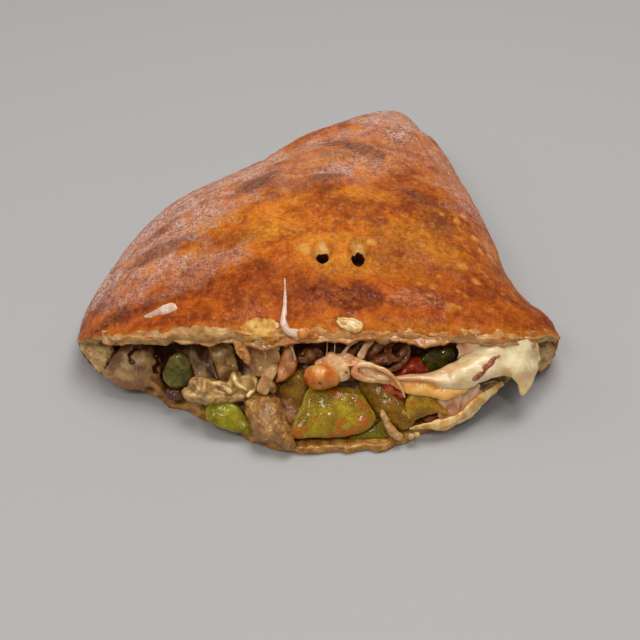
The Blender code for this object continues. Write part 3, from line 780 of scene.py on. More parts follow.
def crust_look():
    """Baked skin, glossy or floury, with crumb where it is torn and at the vents."""
    look = Look(
        "baked_crust", Coat_Roughness=0.08, Specular_IOR_Level=0.06, Subsurface_Radius=(1.0, 0.35, 0.12)
    )
    middle = look.noise(9, 5, 0.6, 0.5)
    small = look.noise(3.2, 4, 0.6, 0.4)
    speck = look.noise(1.7, 2, 0.65)
    tiny = look.noise(1.1, 1, 0.5)
    dashes = look.noise(1.7, 2, 0.5, 1.0, look.stretch((1.0, 0.5, 0.7), 35))
    dashes = look.most(dashes, look.noise(1.6, 2, 0.5, 1.0, look.stretch((0.5, 1.0, 0.7), 20)))
    crumb = (look.mark("crumb") + (small - 0.5) * 0.7).between(0.24, 0.4)
    colour = skin_colour(look, middle, small, speck, dashes)
    dust = speck * 0.45 + tiny * 0.2 + look.cells(0.8, "Color") * 0.35
    colour = floured_colour(look, colour, middle, small, dust.between(0.38, 0.66))
    colour = colour.mix(crumb, crumb_colour(look, small))
    colour = vent_colour(look, colour, small)
    look.set("Base Color", colour)
    dull = look.most(look.mark("floured"), crumb * 0.5)
    wet = look.mark("wet")
    glint = tiny.between(0.58, 0.64) * (1.0 - dull * 0.6)
    look.set("Roughness", middle.between(0.3, 0.7, 0.4, 0.52) + dull * 0.28 - (wet * 0.12 + glint * 0.16))
    gloss = (wet * 0.4 + glint * 0.3) * (1.0 - dull * 0.8)
    oily = crumb * look.most(look.most(look.mark("oily"), look.mark("under") * 0.7), 0.35)
    look.set("Coat Weight", look.most(gloss, oily * 0.8))
    look.set("Subsurface Weight", crumb * 0.2 + 0.04)
    fine = look.bump(speck * 0.7 + dashes * 0.5, 0.45, look.mark("floured") * 0.5 + 0.22)
    fine = look.bump(look.noise(2.4, 2, 0.5), 1.2, wet * 0.8, fine)
    look.relief(look.bump(small, 0.8, crumb.between(0, 1, 0.5, 0.25), fine))
    return look.material


def skin_colour(look, middle, small, speck, dashes):
    """Colour of the baked skin: mottled orange brown with golden, browned and charred patches."""
    colour = (look.noise(34, 3, 0.5) * 0.4 + middle * 0.4 + small * 0.2).ramp(
        (0.36, (0.26, 0.044, 0.006)),
        (0.44, (0.41, 0.086, 0.008)),
        (0.52, (0.58, 0.15, 0.01)),
        (0.6, (0.68, 0.225, 0.018)),
    )
    colour = colour.mix(look.noise(13, 4, 0.66, 0.8).between(0.46, 0.6) * 0.6, (0.19, 0.03, 0.009))
    colour = colour.mix(dashes.between(0.58, 0.68) * (look.mark("floured") * 0.3 + 0.26), (0.78, 0.42, 0.16))
    colour = colour.mix(speck.between(0.46, 0.38) * 0.35, (0.2, 0.034, 0.005))
    golden = look.mark("golden") * small.between(0.25, 0.6, 0.4, 0.95)
    colour = colour.mix(golden, speck.ramp((0.4, (0.58, 0.185, 0.01)), (0.62, (0.76, 0.34, 0.035))))
    burnt = small.between(0.3, 0.7, 1.0, 0.5)
    browned = speck.ramp((0.36, (0.105, 0.014, 0.004)), (0.66, (0.21, 0.038, 0.008)))
    colour = colour.mix(look.mark("browned") * burnt, browned)
    charred = speck.ramp((0.38, (0.03, 0.014, 0.011)), (0.64, (0.2, 0.1, 0.075)))
    colour = colour.mix(look.mark("charred") * burnt, charred)
    blister = small.ramp((0.35, (0.6, 0.22, 0.03)), (0.65, (0.74, 0.38, 0.09)))
    return colour.mix(look.mark("blister") * 0.8, blister)


def floured_colour(look, colour, middle, small, dust):
    """The skin's colour under flour: flushed orange in places, purplish in others, and dusted."""
    flour = look.mark("floured")
    patchy = look.noise(17, 4, 0.62, 0.6).between(0.39, 0.49)
    unburnt = 1.0 - look.mark("charred") * 0.75
    flushed = flour * patchy.between(0, 1, 0.7, 0.0) * unburnt * small.between(0.3, 0.55, 0.55, 1.0)
    colour = colour.mix(flushed, (0.72, 0.255, 0.06))
    colour = colour.mix(flour * patchy.between(0, 1, 0.1, 0.62), (0.27, 0.07, 0.046))
    dusted = flour * (dust * 0.66 + 0.1) * middle.between(0.3, 0.58, 0.45, 1.0)
    return colour.mix(dusted * patchy.between(0, 1, 0.5, 1.0) * unburnt, (0.86, 0.66, 0.57))


def crumb_colour(look, small):
    """Colour of the dough where the skin is torn off: pale above, browner and oily below, with painted shade
    deeper inside the hollow and in the pores.
    """
    tone = look.noise(5, 4) * 0.6 + small * 0.4
    above = tone.ramp((0.36, (0.35, 0.155, 0.04)), (0.5, (0.48, 0.265, 0.092)), (0.64, (0.62, 0.41, 0.18)))
    oily = tone.ramp((0.36, (0.46, 0.15, 0.03)), (0.5, (0.6, 0.27, 0.075)), (0.64, (0.74, 0.43, 0.17)))
    above = above.mix(look.mark("oily") * 0.85, oily)
    above = above.mix(look.mark("yellow"), tone.ramp((0.4, (0.54, 0.23, 0.025)), (0.6, (0.74, 0.47, 0.13))))
    under = tone.ramp((0.36, (0.22, 0.065, 0.008)), (0.5, (0.42, 0.19, 0.03)), (0.62, (0.64, 0.39, 0.1)))
    colour = above.mix(look.mark("under"), under)
    # Painted shade deeper inside the hollow.
    colour = colour.mix(look.mark("inside") * 0.85, (0.16, 0.05, 0.014))
    # Painted shade in the pores.
    return colour.mix(look.mark("pore") * 0.65, (0.3, 0.12, 0.03))


def vent_colour(look, colour, small):
    """The crust's colour, paler round and in the vents, with painted shade deep in them, and darker towards
    the front.
    """
    vent = look.mark("vent") * small.between(0.3, 0.6, 0.6, 0.95)
    colour = colour.mix(vent, small.ramp((0.35, (0.62, 0.28, 0.04)), (0.65, (0.74, 0.48, 0.18))))
    colour = colour.mix(look.mark("slit"), (0.66, 0.42, 0.15))
    # Darker towards the front, except on the crumb.
    front_dark = look.mark("deep_bake") * look.mark("crumb").between(0.4, 0.2)
    colour = colour.mix(front_dark, (0.84, 0.68, 0.6), "MULTIPLY")
    # Painted shade: near-black deep in the slits.
    deep = look.mark("deep") + (small - 0.5) * 0.3
    return colour.mix(deep.between(0.35, 0.75), (0.06, 0.012, 0.005))


CRUST = crust_with_vents()
piece("crust_baked", crust_look(), "crust", "crust", CRUST)


# ---------------------------------------------------------------- the filling

FRONT_LOW = 0.012
FRONT_HIGH = 0.087
FRONT_BULGE = 10.5
FILLING_GAP = 1.4
FILLING_END = 0.88
HEADROOM = 2.6
CORE_OVER = 190
CORE_UNDER = 60
CORE_ROWS = 46
CORE_FRONT_ROWS = 62


def core_shape():
    """The mass of cooked filling: lumps pressed together, which slope back at the cut."""
    angles, _ = ring(hollow_surface, 0.05, CORE_OVER, CORE_UNDER)
    height = (1 + np.sin(angles)) / 2
    first = FRONT_LOW + (FRONT_HIGH - FRONT_LOW) * height**1.2
    rings = []
    for share in np.linspace(0, 1, CORE_ROWS) ** 1.7:
        along = first + (FILLING_END - first) * share
        row = hollow_surface(along, angles, inset=FILLING_GAP)
        row[:, 2] -= HEADROOM * np.clip(np.sin(angles), 0, 1) * np.clip(1 - along / 0.45, 0, 1)
        rings.append(row)
    middle = rings[0].mean(axis=0)
    slope = FRONT_BULGE * np.array([0.0, -0.7, 0.7])
    front = []
    for shrink in np.linspace(0, 1, CORE_FRONT_ROWS + 1)[1:-1]:
        front.append(middle + (rings[0] - middle) * shrink + (1 - shrink**2) * slope)
    points, faces = tube(front + rings, middle + slope, rings[-1].mean(axis=0))
    return lumpy(points, faces, len(front) * len(angles), len(angles))


def lumpy(points, faces, front, count):
    """The plain mass of filling, with its lumps raised, most at the front."""
    shift = np.stack([noise(points, 7, seed) for seed in (51, 52, 53)], -1)
    near, after, own = cells(points * np.array((1.0, 1.25, 1.25)) + 1.2 * shift, 7.5, 54)
    height = 2.4 * (1 - np.clip(near, 0, 1) ** 2) + 0.7 * noise(points, 3.2, 55)
    height += 0.25 * rough(points, 1.6, 56)
    height += 1.6 * (own - 0.5) - 3.8
    fade = np.concatenate([np.full(front, 1.0), np.linspace(1, 0, CORE_ROWS).repeat(count) ** 3, [1, 0]])
    points = raised(points, faces, height * fade)
    # Painted shade in the gaps between lumps, and painted shade on the upper part near the lip.
    gap, shade = smooth(after - near, 0.16, 0.02), smooth(points @ UP, -58, -42)
    return points, faces, {"kind": own, "gap": gap, "shade": shade}


def core_look():
    look = Look(
        "cooked_filling", Coat_Weight=0.5, Coat_Roughness=0.08, Subsurface_Weight=0.15,
        Specular_IOR_Level=0.3,
        Subsurface_Radius=(1.5, 0.7, 0.35)
    )
    fine = look.noise(1.4, 4, 0.6)
    colour = (look.mark("kind") * 0.75 + look.noise(5, 4) * 0.25).ramp(
        (0.18, (0.13, 0.05, 0.015)),
        (0.34, (0.34, 0.15, 0.045)),
        (0.5, (0.46, 0.25, 0.085)),
        (0.66, (0.24, 0.1, 0.03)),
        (0.84, (0.5, 0.28, 0.095)),
    )
    colour = colour.mix(fine.between(0.52, 0.68, 0, 0.4), (0.58, 0.36, 0.14))
    colour = colour.mix(look.noise(9).between(0.44, 0.58, 0.2, 0.8), (0.38, 0.105, 0.015))
    # Painted shade in the gaps between lumps.
    colour = colour.mix(look.mark("gap") * 0.85, (0.055, 0.016, 0.005))
    look.set("Base Color", colour.mix(look.mark("shade") * 0.75, (0.1, 0.026, 0.008)))
    look.set("Roughness", fine.between(0.3, 0.7, 0.16, 0.36))
    look.relief(look.bump(fine, 0.5, 0.6))
    return look.material


CORE = core_shape()
piece("filling_mass", core_look(), "filling", "filling", CORE)


# ---------------------------------------------------------------- shapes laid out as seen at the cut

# A sphere has squareness 2, and a box a high one.
LUMP_SQUARENESS = 2.4
FILM_STEP = 0.35
# How far a film's holes and folds are drawn out down it, and a hole's radius as a share of their spacing.
FILM_DRAWN = 0.72
HOLE_RADIUS = 0.42


def seen(across, up, out):
    """The place, so far out, that the viewer sees across and up in the plane through the cut."""
    across, up, out = np.broadcast_arrays(*(np.asarray(value, float) for value in (across, up, out)))
    away = (CAMERA_OUT - out) / (CAMERA_OUT - CUT_OUT)
    x = CAMERA_ACROSS + (across - CAMERA_ACROSS) * away
    level = CAMERA_UP + (up - CAMERA_UP) * away
    return x[..., None] * np.array((1.0, 0.0, 0.0)) + level[..., None] * UP + out[..., None] * OUT


def out_of(node):
    """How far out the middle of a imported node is."""
    low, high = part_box(node)
    return float((np.array(low) + np.array(high)) @ OUT) / 2 / MM


def closed_line(knots, count):
    """A smooth closed line through the knots."""
    knots = np.array(knots, float)
    steps = np.linspace(0, len(knots), count, endpoint=False)
    low = steps.astype(int)
    t = (steps - low)[:, None]
    a, b, c, d = (knots[(low + k) % len(knots)] for k in (-1, 0, 1, 2))
    return 0.5 * (2 * b + (c - a) * t + (2 * a - 5 * b + 4 * c - d) * t**2 + (3 * b - a - 3 * c + d) * t**3)


def open_line(knots, count):
    """Evenly spread places on a smooth line through the knots."""
    knots = np.array(knots, float)
    spans = np.maximum(np.linalg.norm(np.diff(knots[:, :2], axis=0), axis=1), 0.01)
    place = np.concatenate([[0], np.cumsum(spans)])
    return through(np.column_stack([place, knots]), np.linspace(0, place[-1], count))


def panel(
    outline, out, thick, bulge=0.0, lean=0.0, slant=0.0, rim=5.0, dents=(), around=120, rings=32, seed=0
):
    """A flat or rounded piece with that outline as seen at the cut, given across and up.

    It leans out by so much a millimetre upwards, slants by so much a millimetre across, and
    bulges in its middle. A high rim makes it flat with a short round edge.
    """
    line = closed_line(outline, around)
    middle = line.mean(axis=0)
    turn = np.linspace(0, math.pi, rings + 2)[1:-1]
    share = np.sin(turn)
    half = thick / 2 * np.sqrt(np.clip(1 - share**rim, 0, 1)) * np.sign(np.cos(turn))
    away = (line - middle)[None, :, :] * share[:, None, None]
    depth = out + half[:, None] + bulge * (1 - share[:, None] ** 2)
    depth = depth + lean * away[..., 1] + slant * away[..., 0]
    ends = (seen(*middle, out + bulge + side * thick / 2) for side in (1, -1))
    points, faces = tube(seen(middle[0] + away[..., 0], middle[1] + away[..., 1], depth), *ends)
    marks = {
        "rim": np.append(np.repeat(share, around), [0, 0]),
        "front": np.append(np.repeat(np.cos(turn), around), [1, -1]),
    }
    return dented(points, faces, dents, seed), faces, marks


def lump(centre, size, turn=0.0, dents=(), detail=5, seed=0):
    """A rounded lump that faces the viewer of the cut, turned by so many degrees."""
    solid = bmesh.new()
    bmesh.ops.create_icosphere(solid, subdivisions=detail, radius=1.0)
    points = np.array([vert.co for vert in solid.verts], float)
    faces = np.array([[vert.index for vert in face.verts] for face in solid.faces])
    solid.free()
    faces = outward(points, faces)
    points = points / (np.abs(points) ** LUMP_SQUARENESS).sum(axis=1, keepdims=True) ** (1 / LUMP_SQUARENESS)
    points = dented(points * np.array(size) / 2, faces, dents, seed)
    for angle, (i, j) in ((turn, (0, 1)), (FACING, (1, 2))):
        c, s = math.cos(math.radians(angle)), math.sin(math.radians(angle))
        points[:, i], points[:, j] = c * points[:, i] - s * points[:, j], s * points[:, i] + c * points[:, j]
    return points + np.asarray(centre, float), faces, {}


def rope(path, sides=20, step=0.35, dents=(), seed=0):
    """A rope or ribbon along rows of (x, y, z, width, thickness), its thin side facing the viewer."""
    path = np.asarray(path, float)
    place = np.concatenate([[0], np.cumsum(np.linalg.norm(np.diff(path[:, :3], axis=0), axis=1))])
    length = place[-1]
    count = max(8, int(length / step))
    ends = 0.5 * (1 - np.cos(np.linspace(0, math.pi, count)))
    at = (0.35 * ends + 0.65 * np.linspace(0, 1, count)) * length
    rows = through(np.column_stack([place, path]), at)
    spine, width, thick = rows[:, :3], np.abs(rows[:, 3]), np.abs(rows[:, 4])
    forward = unit(np.gradient(spine, axis=0))
    up = unit(FACE - forward * (forward @ FACE)[:, None])
    across = np.cross(forward, up)
    reach = np.minimum(width, length * 0.3) / 2
    near_end = np.clip(np.minimum(at, length - at) / reach, 0, 1)
    ending = np.sqrt(np.clip(1 - (1 - near_end) ** 2, 0.0004, 1)) / 2
    theta = np.linspace(0, 2 * math.pi, sides, endpoint=False)
    rings = (
        spine[:, None, :]
        + across[:, None, :] * (np.cos(theta) * (width * ending)[:, None])[..., None]
        + up[:, None, :] * (np.sin(theta) * (thick * ending)[:, None])[..., None]
    )
    points, faces = tube(rings, spine[0], spine[-1])
    return dented(points, faces, dents, seed), faces, {}


def strand(path, sides=20, step=0.35, dents=(), seed=0):
    """A rope along rows of (across, up, out, width, thickness)."""
    return rope([(*seen(*row[:3]), *row[3:]) for row in path], sides, step, dents, seed)


def band(upper, lower, sides=64, step=0.5, bulge=0.0, dents=()):
    """Melted food from an upper line, of (across, up, out, thickness), to one of (across, up, out)."""
    length = np.linalg.norm(np.diff(np.array(upper, float)[:, :2], axis=0), axis=1).sum()
    count = max(12, int(length / step))
    top, low = open_line(upper, count), open_line(lower, count)
    angle = np.linspace(0, 2 * math.pi, sides, endpoint=False)
    share = ((1 - np.cos(angle)) / 2)[None, :, None]
    at = np.linspace(0, 1, count)
    ending = np.sqrt(np.clip(1 - (2 * at - 1) ** 8, 0.01, 1))
    line = top[:, None, :3] * (1 - share) + low[:, None, :3] * share
    half = (np.abs(top[:, 3]) * ending / 2)[:, None] * np.sin(angle)[None, :]
    depth = line[..., 2] + half + bulge * np.sin(math.pi * share[..., 0])
    rings = seen(line[..., 0], line[..., 1], depth)
    points, faces = tube(rings, rings[0].mean(axis=0), rings[-1].mean(axis=0))
    return dented(points, faces, dents), faces, {"share": np.append(np.repeat(at, sides), [0, 1])}


def thickened(points, faces, thick, **marks):
    """A closed sheet with those points, faces and marks in its middle."""
    used = np.unique(faces)
    index = np.full(len(points), -1)
    index[used] = np.arange(len(used))
    points, thick, faces = points[used], np.broadcast_to(thick, len(points))[used], index[faces]
    half = normals(points, faces) * thick[:, None] / 2
    sides = np.concatenate([faces[:, [0, 1]], faces[:, [1, 2]], faces[:, [2, 0]]]).tolist()
    known = {(a, b) for a, b in sides}
    start, end = np.array([(a, b) for a, b in sides if (b, a) not in known]).T
    count = len(points)
    walls = [np.stack([end, start, start + count], -1), np.stack([end, start + count, end + count], -1)]
    marks = {name: np.tile(values[used], 2) for name, values in marks.items()}
    faces = np.concatenate([faces, faces[:, ::-1] + count, *walls])
    return np.concatenate([points + half, points - half]), faces, marks


def film(upper, lower, thick, holes=0.0, hole=5.0, torn=0.0, frayed=1.0, sag=0.0, folds=0.6, seed=0):
    """A thin sheet between two lines of (across, up, out), with holes, a torn lower edge and frayed sides."""
    upper, lower = np.array(upper, float), np.array(lower, float)
    wide = np.linalg.norm(np.diff(upper[:, :2], axis=0), axis=1).sum()
    tall = np.linalg.norm(upper[:, :2].mean(axis=0) - lower[:, :2].mean(axis=0))
    columns, rows = max(12, int(wide / FILM_STEP)), max(12, int(tall / FILM_STEP))
    top, low = open_line(upper, columns), open_line(lower, columns)
    share = np.linspace(0, 1, rows)[:, None, None]
    line = top[None] * (1 - share) + low[None] * share
    depth = line[..., 2] + sag * np.sin(math.pi * share[..., 0])
    flat = seen(line[..., 0], line[..., 1], depth).reshape(-1, 3)
    along = unit((low - top).mean(axis=0) @ np.stack([np.array((1.0, 0, 0)), UP, OUT]))
    drawn = flat - FILM_DRAWN * (flat @ along)[:, None] * along
    creases = folds * 1.6 * noise(drawn + 40 * seed, 4.5, 91) + 0.3 * folds * noise(flat, 1.8, 92)
    flat = flat + OUT * creases[:, None]
    near, _, own = cells(drawn + 40 * seed, hole, 93)
    gone = (near < HOLE_RADIUS) & (own < holes)
    low_part = np.broadcast_to(share[..., 0], depth.shape).reshape(-1)
    gone |= low_part > 1 - torn * (0.5 + 0.9 * rough(flat + 30 * seed, 4.0, 94))
    at = np.linspace(0, wide, columns)
    side = np.broadcast_to(np.minimum(at, wide - at), depth.shape).reshape(-1)
    gone |= side < frayed * (1.0 + 1.3 * rough(flat + 30 * seed, 3.5, 96))
    faces = grid_faces(rows, columns)
    faces = faces[~gone[faces].any(axis=1)]
    return thickened(flat, faces, thick * (0.75 + 0.5 * np.abs(noise(flat, 3, 95))), share=low_part)


def surface_finder(*shapes):
    """Gives a function that finds how far out the surface is that the viewer sees at a spot."""
    points, faces, _ = joined([(*shape[:2], {}) for shape in shapes])
    tree = BVHTree.FromPolygons(points.tolist(), faces.tolist())
    eye = Vector(np.array(CAMERA_PLACE) / MM)

    def find(across, up, missing=90.0):
        aim = Vector(seen(across, up, CUT_OUT)) - eye
        hit = tree.ray_cast(eye, aim.normalized())[0]
        return missing if hit is None else float(np.array(hit) @ OUT)

    return find


surface_out = surface_finder(CRUST, CORE)


def laid(rows, lift):
    """Rows of (across, up, width, thickness) as a path that lies on the surface the viewer sees."""
    return [(across, up, surface_out(across, up) + lift, *size) for across, up, *size in rows]


def far_from(points, line):
    """How far each point is from a line given across and up, as seen at the cut."""
    path = open_line(line, 60)
    path = seen(path[:, 0], path[:, 1], float((points @ OUT).mean()))
    away = points[:, None, :] - path[None, :, :]
    away = away - (away @ OUT)[..., None] * OUT
    return np.linalg.norm(away, axis=2).min(axis=1)


# ---------------------------------------------------------------- looks of the filling


def pepper_look(name, dark, middle, light, stain=0.5, stain_colour=(0.46, 0.11, 0.01)):
    """Cooked pepper: glossy skin with a fine grain of oil whose spots are also painted lighter as glints,
    paler at its rim, stained by the sauce.
    """
    look = Look(
        name, Coat_Weight=0.7, Coat_Roughness=0.05, Subsurface_Weight=0.15, Specular_IOR_Level=0.06,
        Subsurface_Radius=(1.2, 1.2, 0.2)
    )
    tone = look.noise(9) * 0.75 + look.noise(2.4) * 0.25
    colour = tone.ramp((0.36, dark), (0.5, middle), (0.64, light))
    colour = colour.mix(look.mark("rim").between(0.9, 1.0) * 0.5, light)
    colour = colour.mix(look.mark("front").between(0.15, -0.25) * 0.6, (0.4, 0.34, 0.06))
    sauce = look.noise(7, 4, 0.6, 0.5) + look.mark("sauce") * 0.16
    colour = colour.mix(sauce.between(0.54, 0.62) * stain, stain_colour)
    sparkle = look.cells(1.1).between(0.36, 0.1)
    # Painted glints: the grain's spots lighten the colour.
    look.set("Base Color", colour.mix(sparkle * 0.25, light))
    look.set("Roughness", look.noise(1.3, 2).between(0.35, 0.65, 0.12, 0.3))
    look.relief(look.bump(look.noise(3.2, 3, 0.6), 0.6, 0.4, look.bump(sparkle, 0.5)))
    return look.material


def soft_look(name, dark, middle, light, apart=4.0, roughness=(0.2, 0.4), coat=0.4, soft=0.25, grain=0.8):
    """Moist soft food in three tones."""
    look = Look(
        name, Coat_Weight=coat, Coat_Roughness=0.08, Subsurface_Weight=soft, Specular_IOR_Level=0.3,
        Subsurface_Radius=(2.0, 1.0, 0.5)
    )
    fine = look.noise(1.1, 4, 0.6)
    tone = look.noise(apart, 4, 0.55, 0.4) * 0.7 + fine * 0.3
    look.set("Base Color", tone.ramp((0.34, dark), (0.5, middle), (0.64, light)))
    look.set("Roughness", fine.between(0.35, 0.65, *roughness))
    look.relief(look.bump(fine * 0.4 + look.noise(3.2), grain, 0.4))
    return look.material


def melted_look(name, dark, middle, light, apart=7.0, coat=0.55, rim=None, start=None):
    """Melted cheese or onion, smooth and moist. Its rim or its start can be of another colour."""
    look = Look(
        name, Coat_Weight=coat, Coat_Roughness=0.06, Subsurface_Weight=0.4, Specular_IOR_Level=0.25,
        Subsurface_Radius=(3.0, 1.6, 0.7)
    )
    fine = look.noise(1.6, 3, 0.6)
    tone = look.noise(apart, 3, 0.5, 0.5) * 0.8 + fine * 0.2
    colour = tone.ramp((0.36, dark), (0.5, middle), (0.64, light))
    if rim:
        colour = colour.mix((look.mark("rim") + fine * 0.2).between(0.8, 1.05), rim)
    if start:
        near = look.mark("share") + (look.noise(9) - 0.5) * 0.5
        colour = colour.mix(near.between(0.48, 0.16), start)
    look.set("Base Color", colour)
    look.set("Roughness", fine.between(0.35, 0.65, 0.16, 0.34))
    look.relief(look.bump(look.noise(2.4), 0.5, 0.4))
    return look.material


def film_look(name, dull, light, low, high, wide):
    """A thin moist film that shows what is behind it, less so low down and in its drawn folds."""
    look = Look(name, Coat_Weight=0.8, Coat_Roughness=0.05, Roughness=0.2, Specular_IOR_Level=0.2)
    drawn = look.noise(5, 2, 0.5, 0.6, look.stretch((1.0, 0.45, 0.45), 25))
    look.set("Base Color", drawn.ramp((0.4, dull), (0.62, light)))
    look.set("Alpha", (drawn + look.mark("share") * wide).between(0.42, 0.68, low, high))
    look.relief(look.bump(look.noise(2.6, 2), 0.5, 0.3))
    return look.material


def crumb_look():
    """Torn dough with pores painted darker as shade, and browned skin at its rim."""
    look = Look(
        "torn_crumb", Roughness=0.6, Specular_IOR_Level=0.25, Subsurface_Weight=0.15,
        Subsurface_Radius=(1.5, 0.8, 0.4)
    )
    pores = look.cells(2.2).between(0.28, 0.1)
    tone = look.noise(4, 4) * 0.7 + look.noise(1.3) * 0.3
    colour = tone.ramp((0.34, (0.38, 0.19, 0.05)), (0.5, (0.6, 0.38, 0.15)), (0.66, (0.76, 0.58, 0.3)))
    # Painted shade in the pores.
    colour = colour.mix(pores * 0.75, (0.22, 0.085, 0.02))
    skin = look.noise(2.5, 4).ramp((0.4, (0.16, 0.035, 0.008)), (0.6, (0.4, 0.13, 0.02)))
    look.set("Base Color", colour.mix(look.mark("rim").between(0.86, 0.97), skin))
    look.relief(look.bump(tone + pores * -0.8, 0.7, 0.7))
    return look.material


def chunk_look():
    """Folded cheese with glossy cracks painted dark as shade, and a toasted lower edge."""
    look = Look(
        "folded_cheese", Coat_Weight=0.6, Coat_Roughness=0.08, Subsurface_Weight=0.35, Specular_IOR_Level=0.3,
        Subsurface_Radius=(2.0, 1.0, 0.5)
    )
    fine = look.noise(1.3, 4, 0.6)
    tone = look.noise(8, 3, 0.5, 0.5) * 0.85 + fine * 0.15
    colour = tone.ramp((0.36, (0.16, 0.06, 0.013)), (0.48, (0.29, 0.14, 0.042)), (0.62, (0.5, 0.31, 0.12)))
    colour = colour.mix(look.noise(9, 4, 0.6, 0.6).between(0.54, 0.64) * 0.6, (0.3, 0.09, 0.018))
    colour = colour.mix(look.mark("toasted") * 0.8, (0.34, 0.11, 0.02))
    # Painted shade in the cracks.
    look.set("Base Color", colour.mix(look.mark("crack").between(0.1, 0.7), (0.085, 0.014, 0.004)))
    look.set("Roughness", look.mark("crack").between(0.2, 0.8, 0.34, 0.14))
    look.relief(look.bump(fine + look.noise(2.6), 0.6, 0.5))
    return look.material


SKIN_PINK = melted_look("pink_cheese", (0.6, 0.22, 0.07), (0.76, 0.4, 0.17), (0.86, 0.57, 0.31), coat=0.7)
PALE_STRING = melted_look(
    "pale_pink_cheese", (0.66, 0.36, 0.24), (0.8, 0.53, 0.4), (0.88, 0.68, 0.56), coat=0.8
)
ORANGE = melted_look("orange_sauce", (0.46, 0.09, 0.008), (0.62, 0.19, 0.02), (0.74, 0.37, 0.11), coat=0.6)
EDGE = melted_look("browned_cheese", (0.66, 0.27, 0.04), (0.84, 0.48, 0.14), (0.94, 0.7, 0.34), 4.5, 0.8)
BROWN_ONION = melted_look(
    "brown_onion", (0.09, 0.018, 0.004), (0.2, 0.058, 0.014), (0.38, 0.16, 0.05), 3.5, 0.35
)
MUSHROOM = melted_look("mushroom_flesh", (0.36, 0.16, 0.045), (0.54, 0.3, 0.11), (0.68, 0.46, 0.22), 3.5)
TOMATO = soft_look(
    "tomato_flesh", (0.26, 0.014, 0.005), (0.48, 0.042, 0.01), (0.66, 0.13, 0.03), 4, (0.1, 0.25), 0.8
)
DARK = soft_look(
    "charred_bits", (0.02, 0.005, 0.002), (0.07, 0.014, 0.005), (0.22, 0.06, 0.02), 2.5, (0.15, 0.4), 0.6
)


# ---------------------------------------------------------------- peppers

# Where sauce has run over the big pepper: across, up and reach.
SAUCE_SPOTS = ((21.5, -70, 5.0), (13.5, -74.5, 4.5), (9.5, -60, 3.0), (18, -64, 3.0), (-9.5, -78, 3.0))


def sauce_on(points):
    """1 where sauce has run over the piece."""
    total = np.zeros(len(points))
    for across, up, reach in SAUCE_SPOTS:
        far = far_from(points, ((across - 0.1, up), (across + 0.1, up))) / reach
        total = np.maximum(total, smooth(far + 0.4 * noise(points, 3, 120), 1.2, 0.6))
    return total


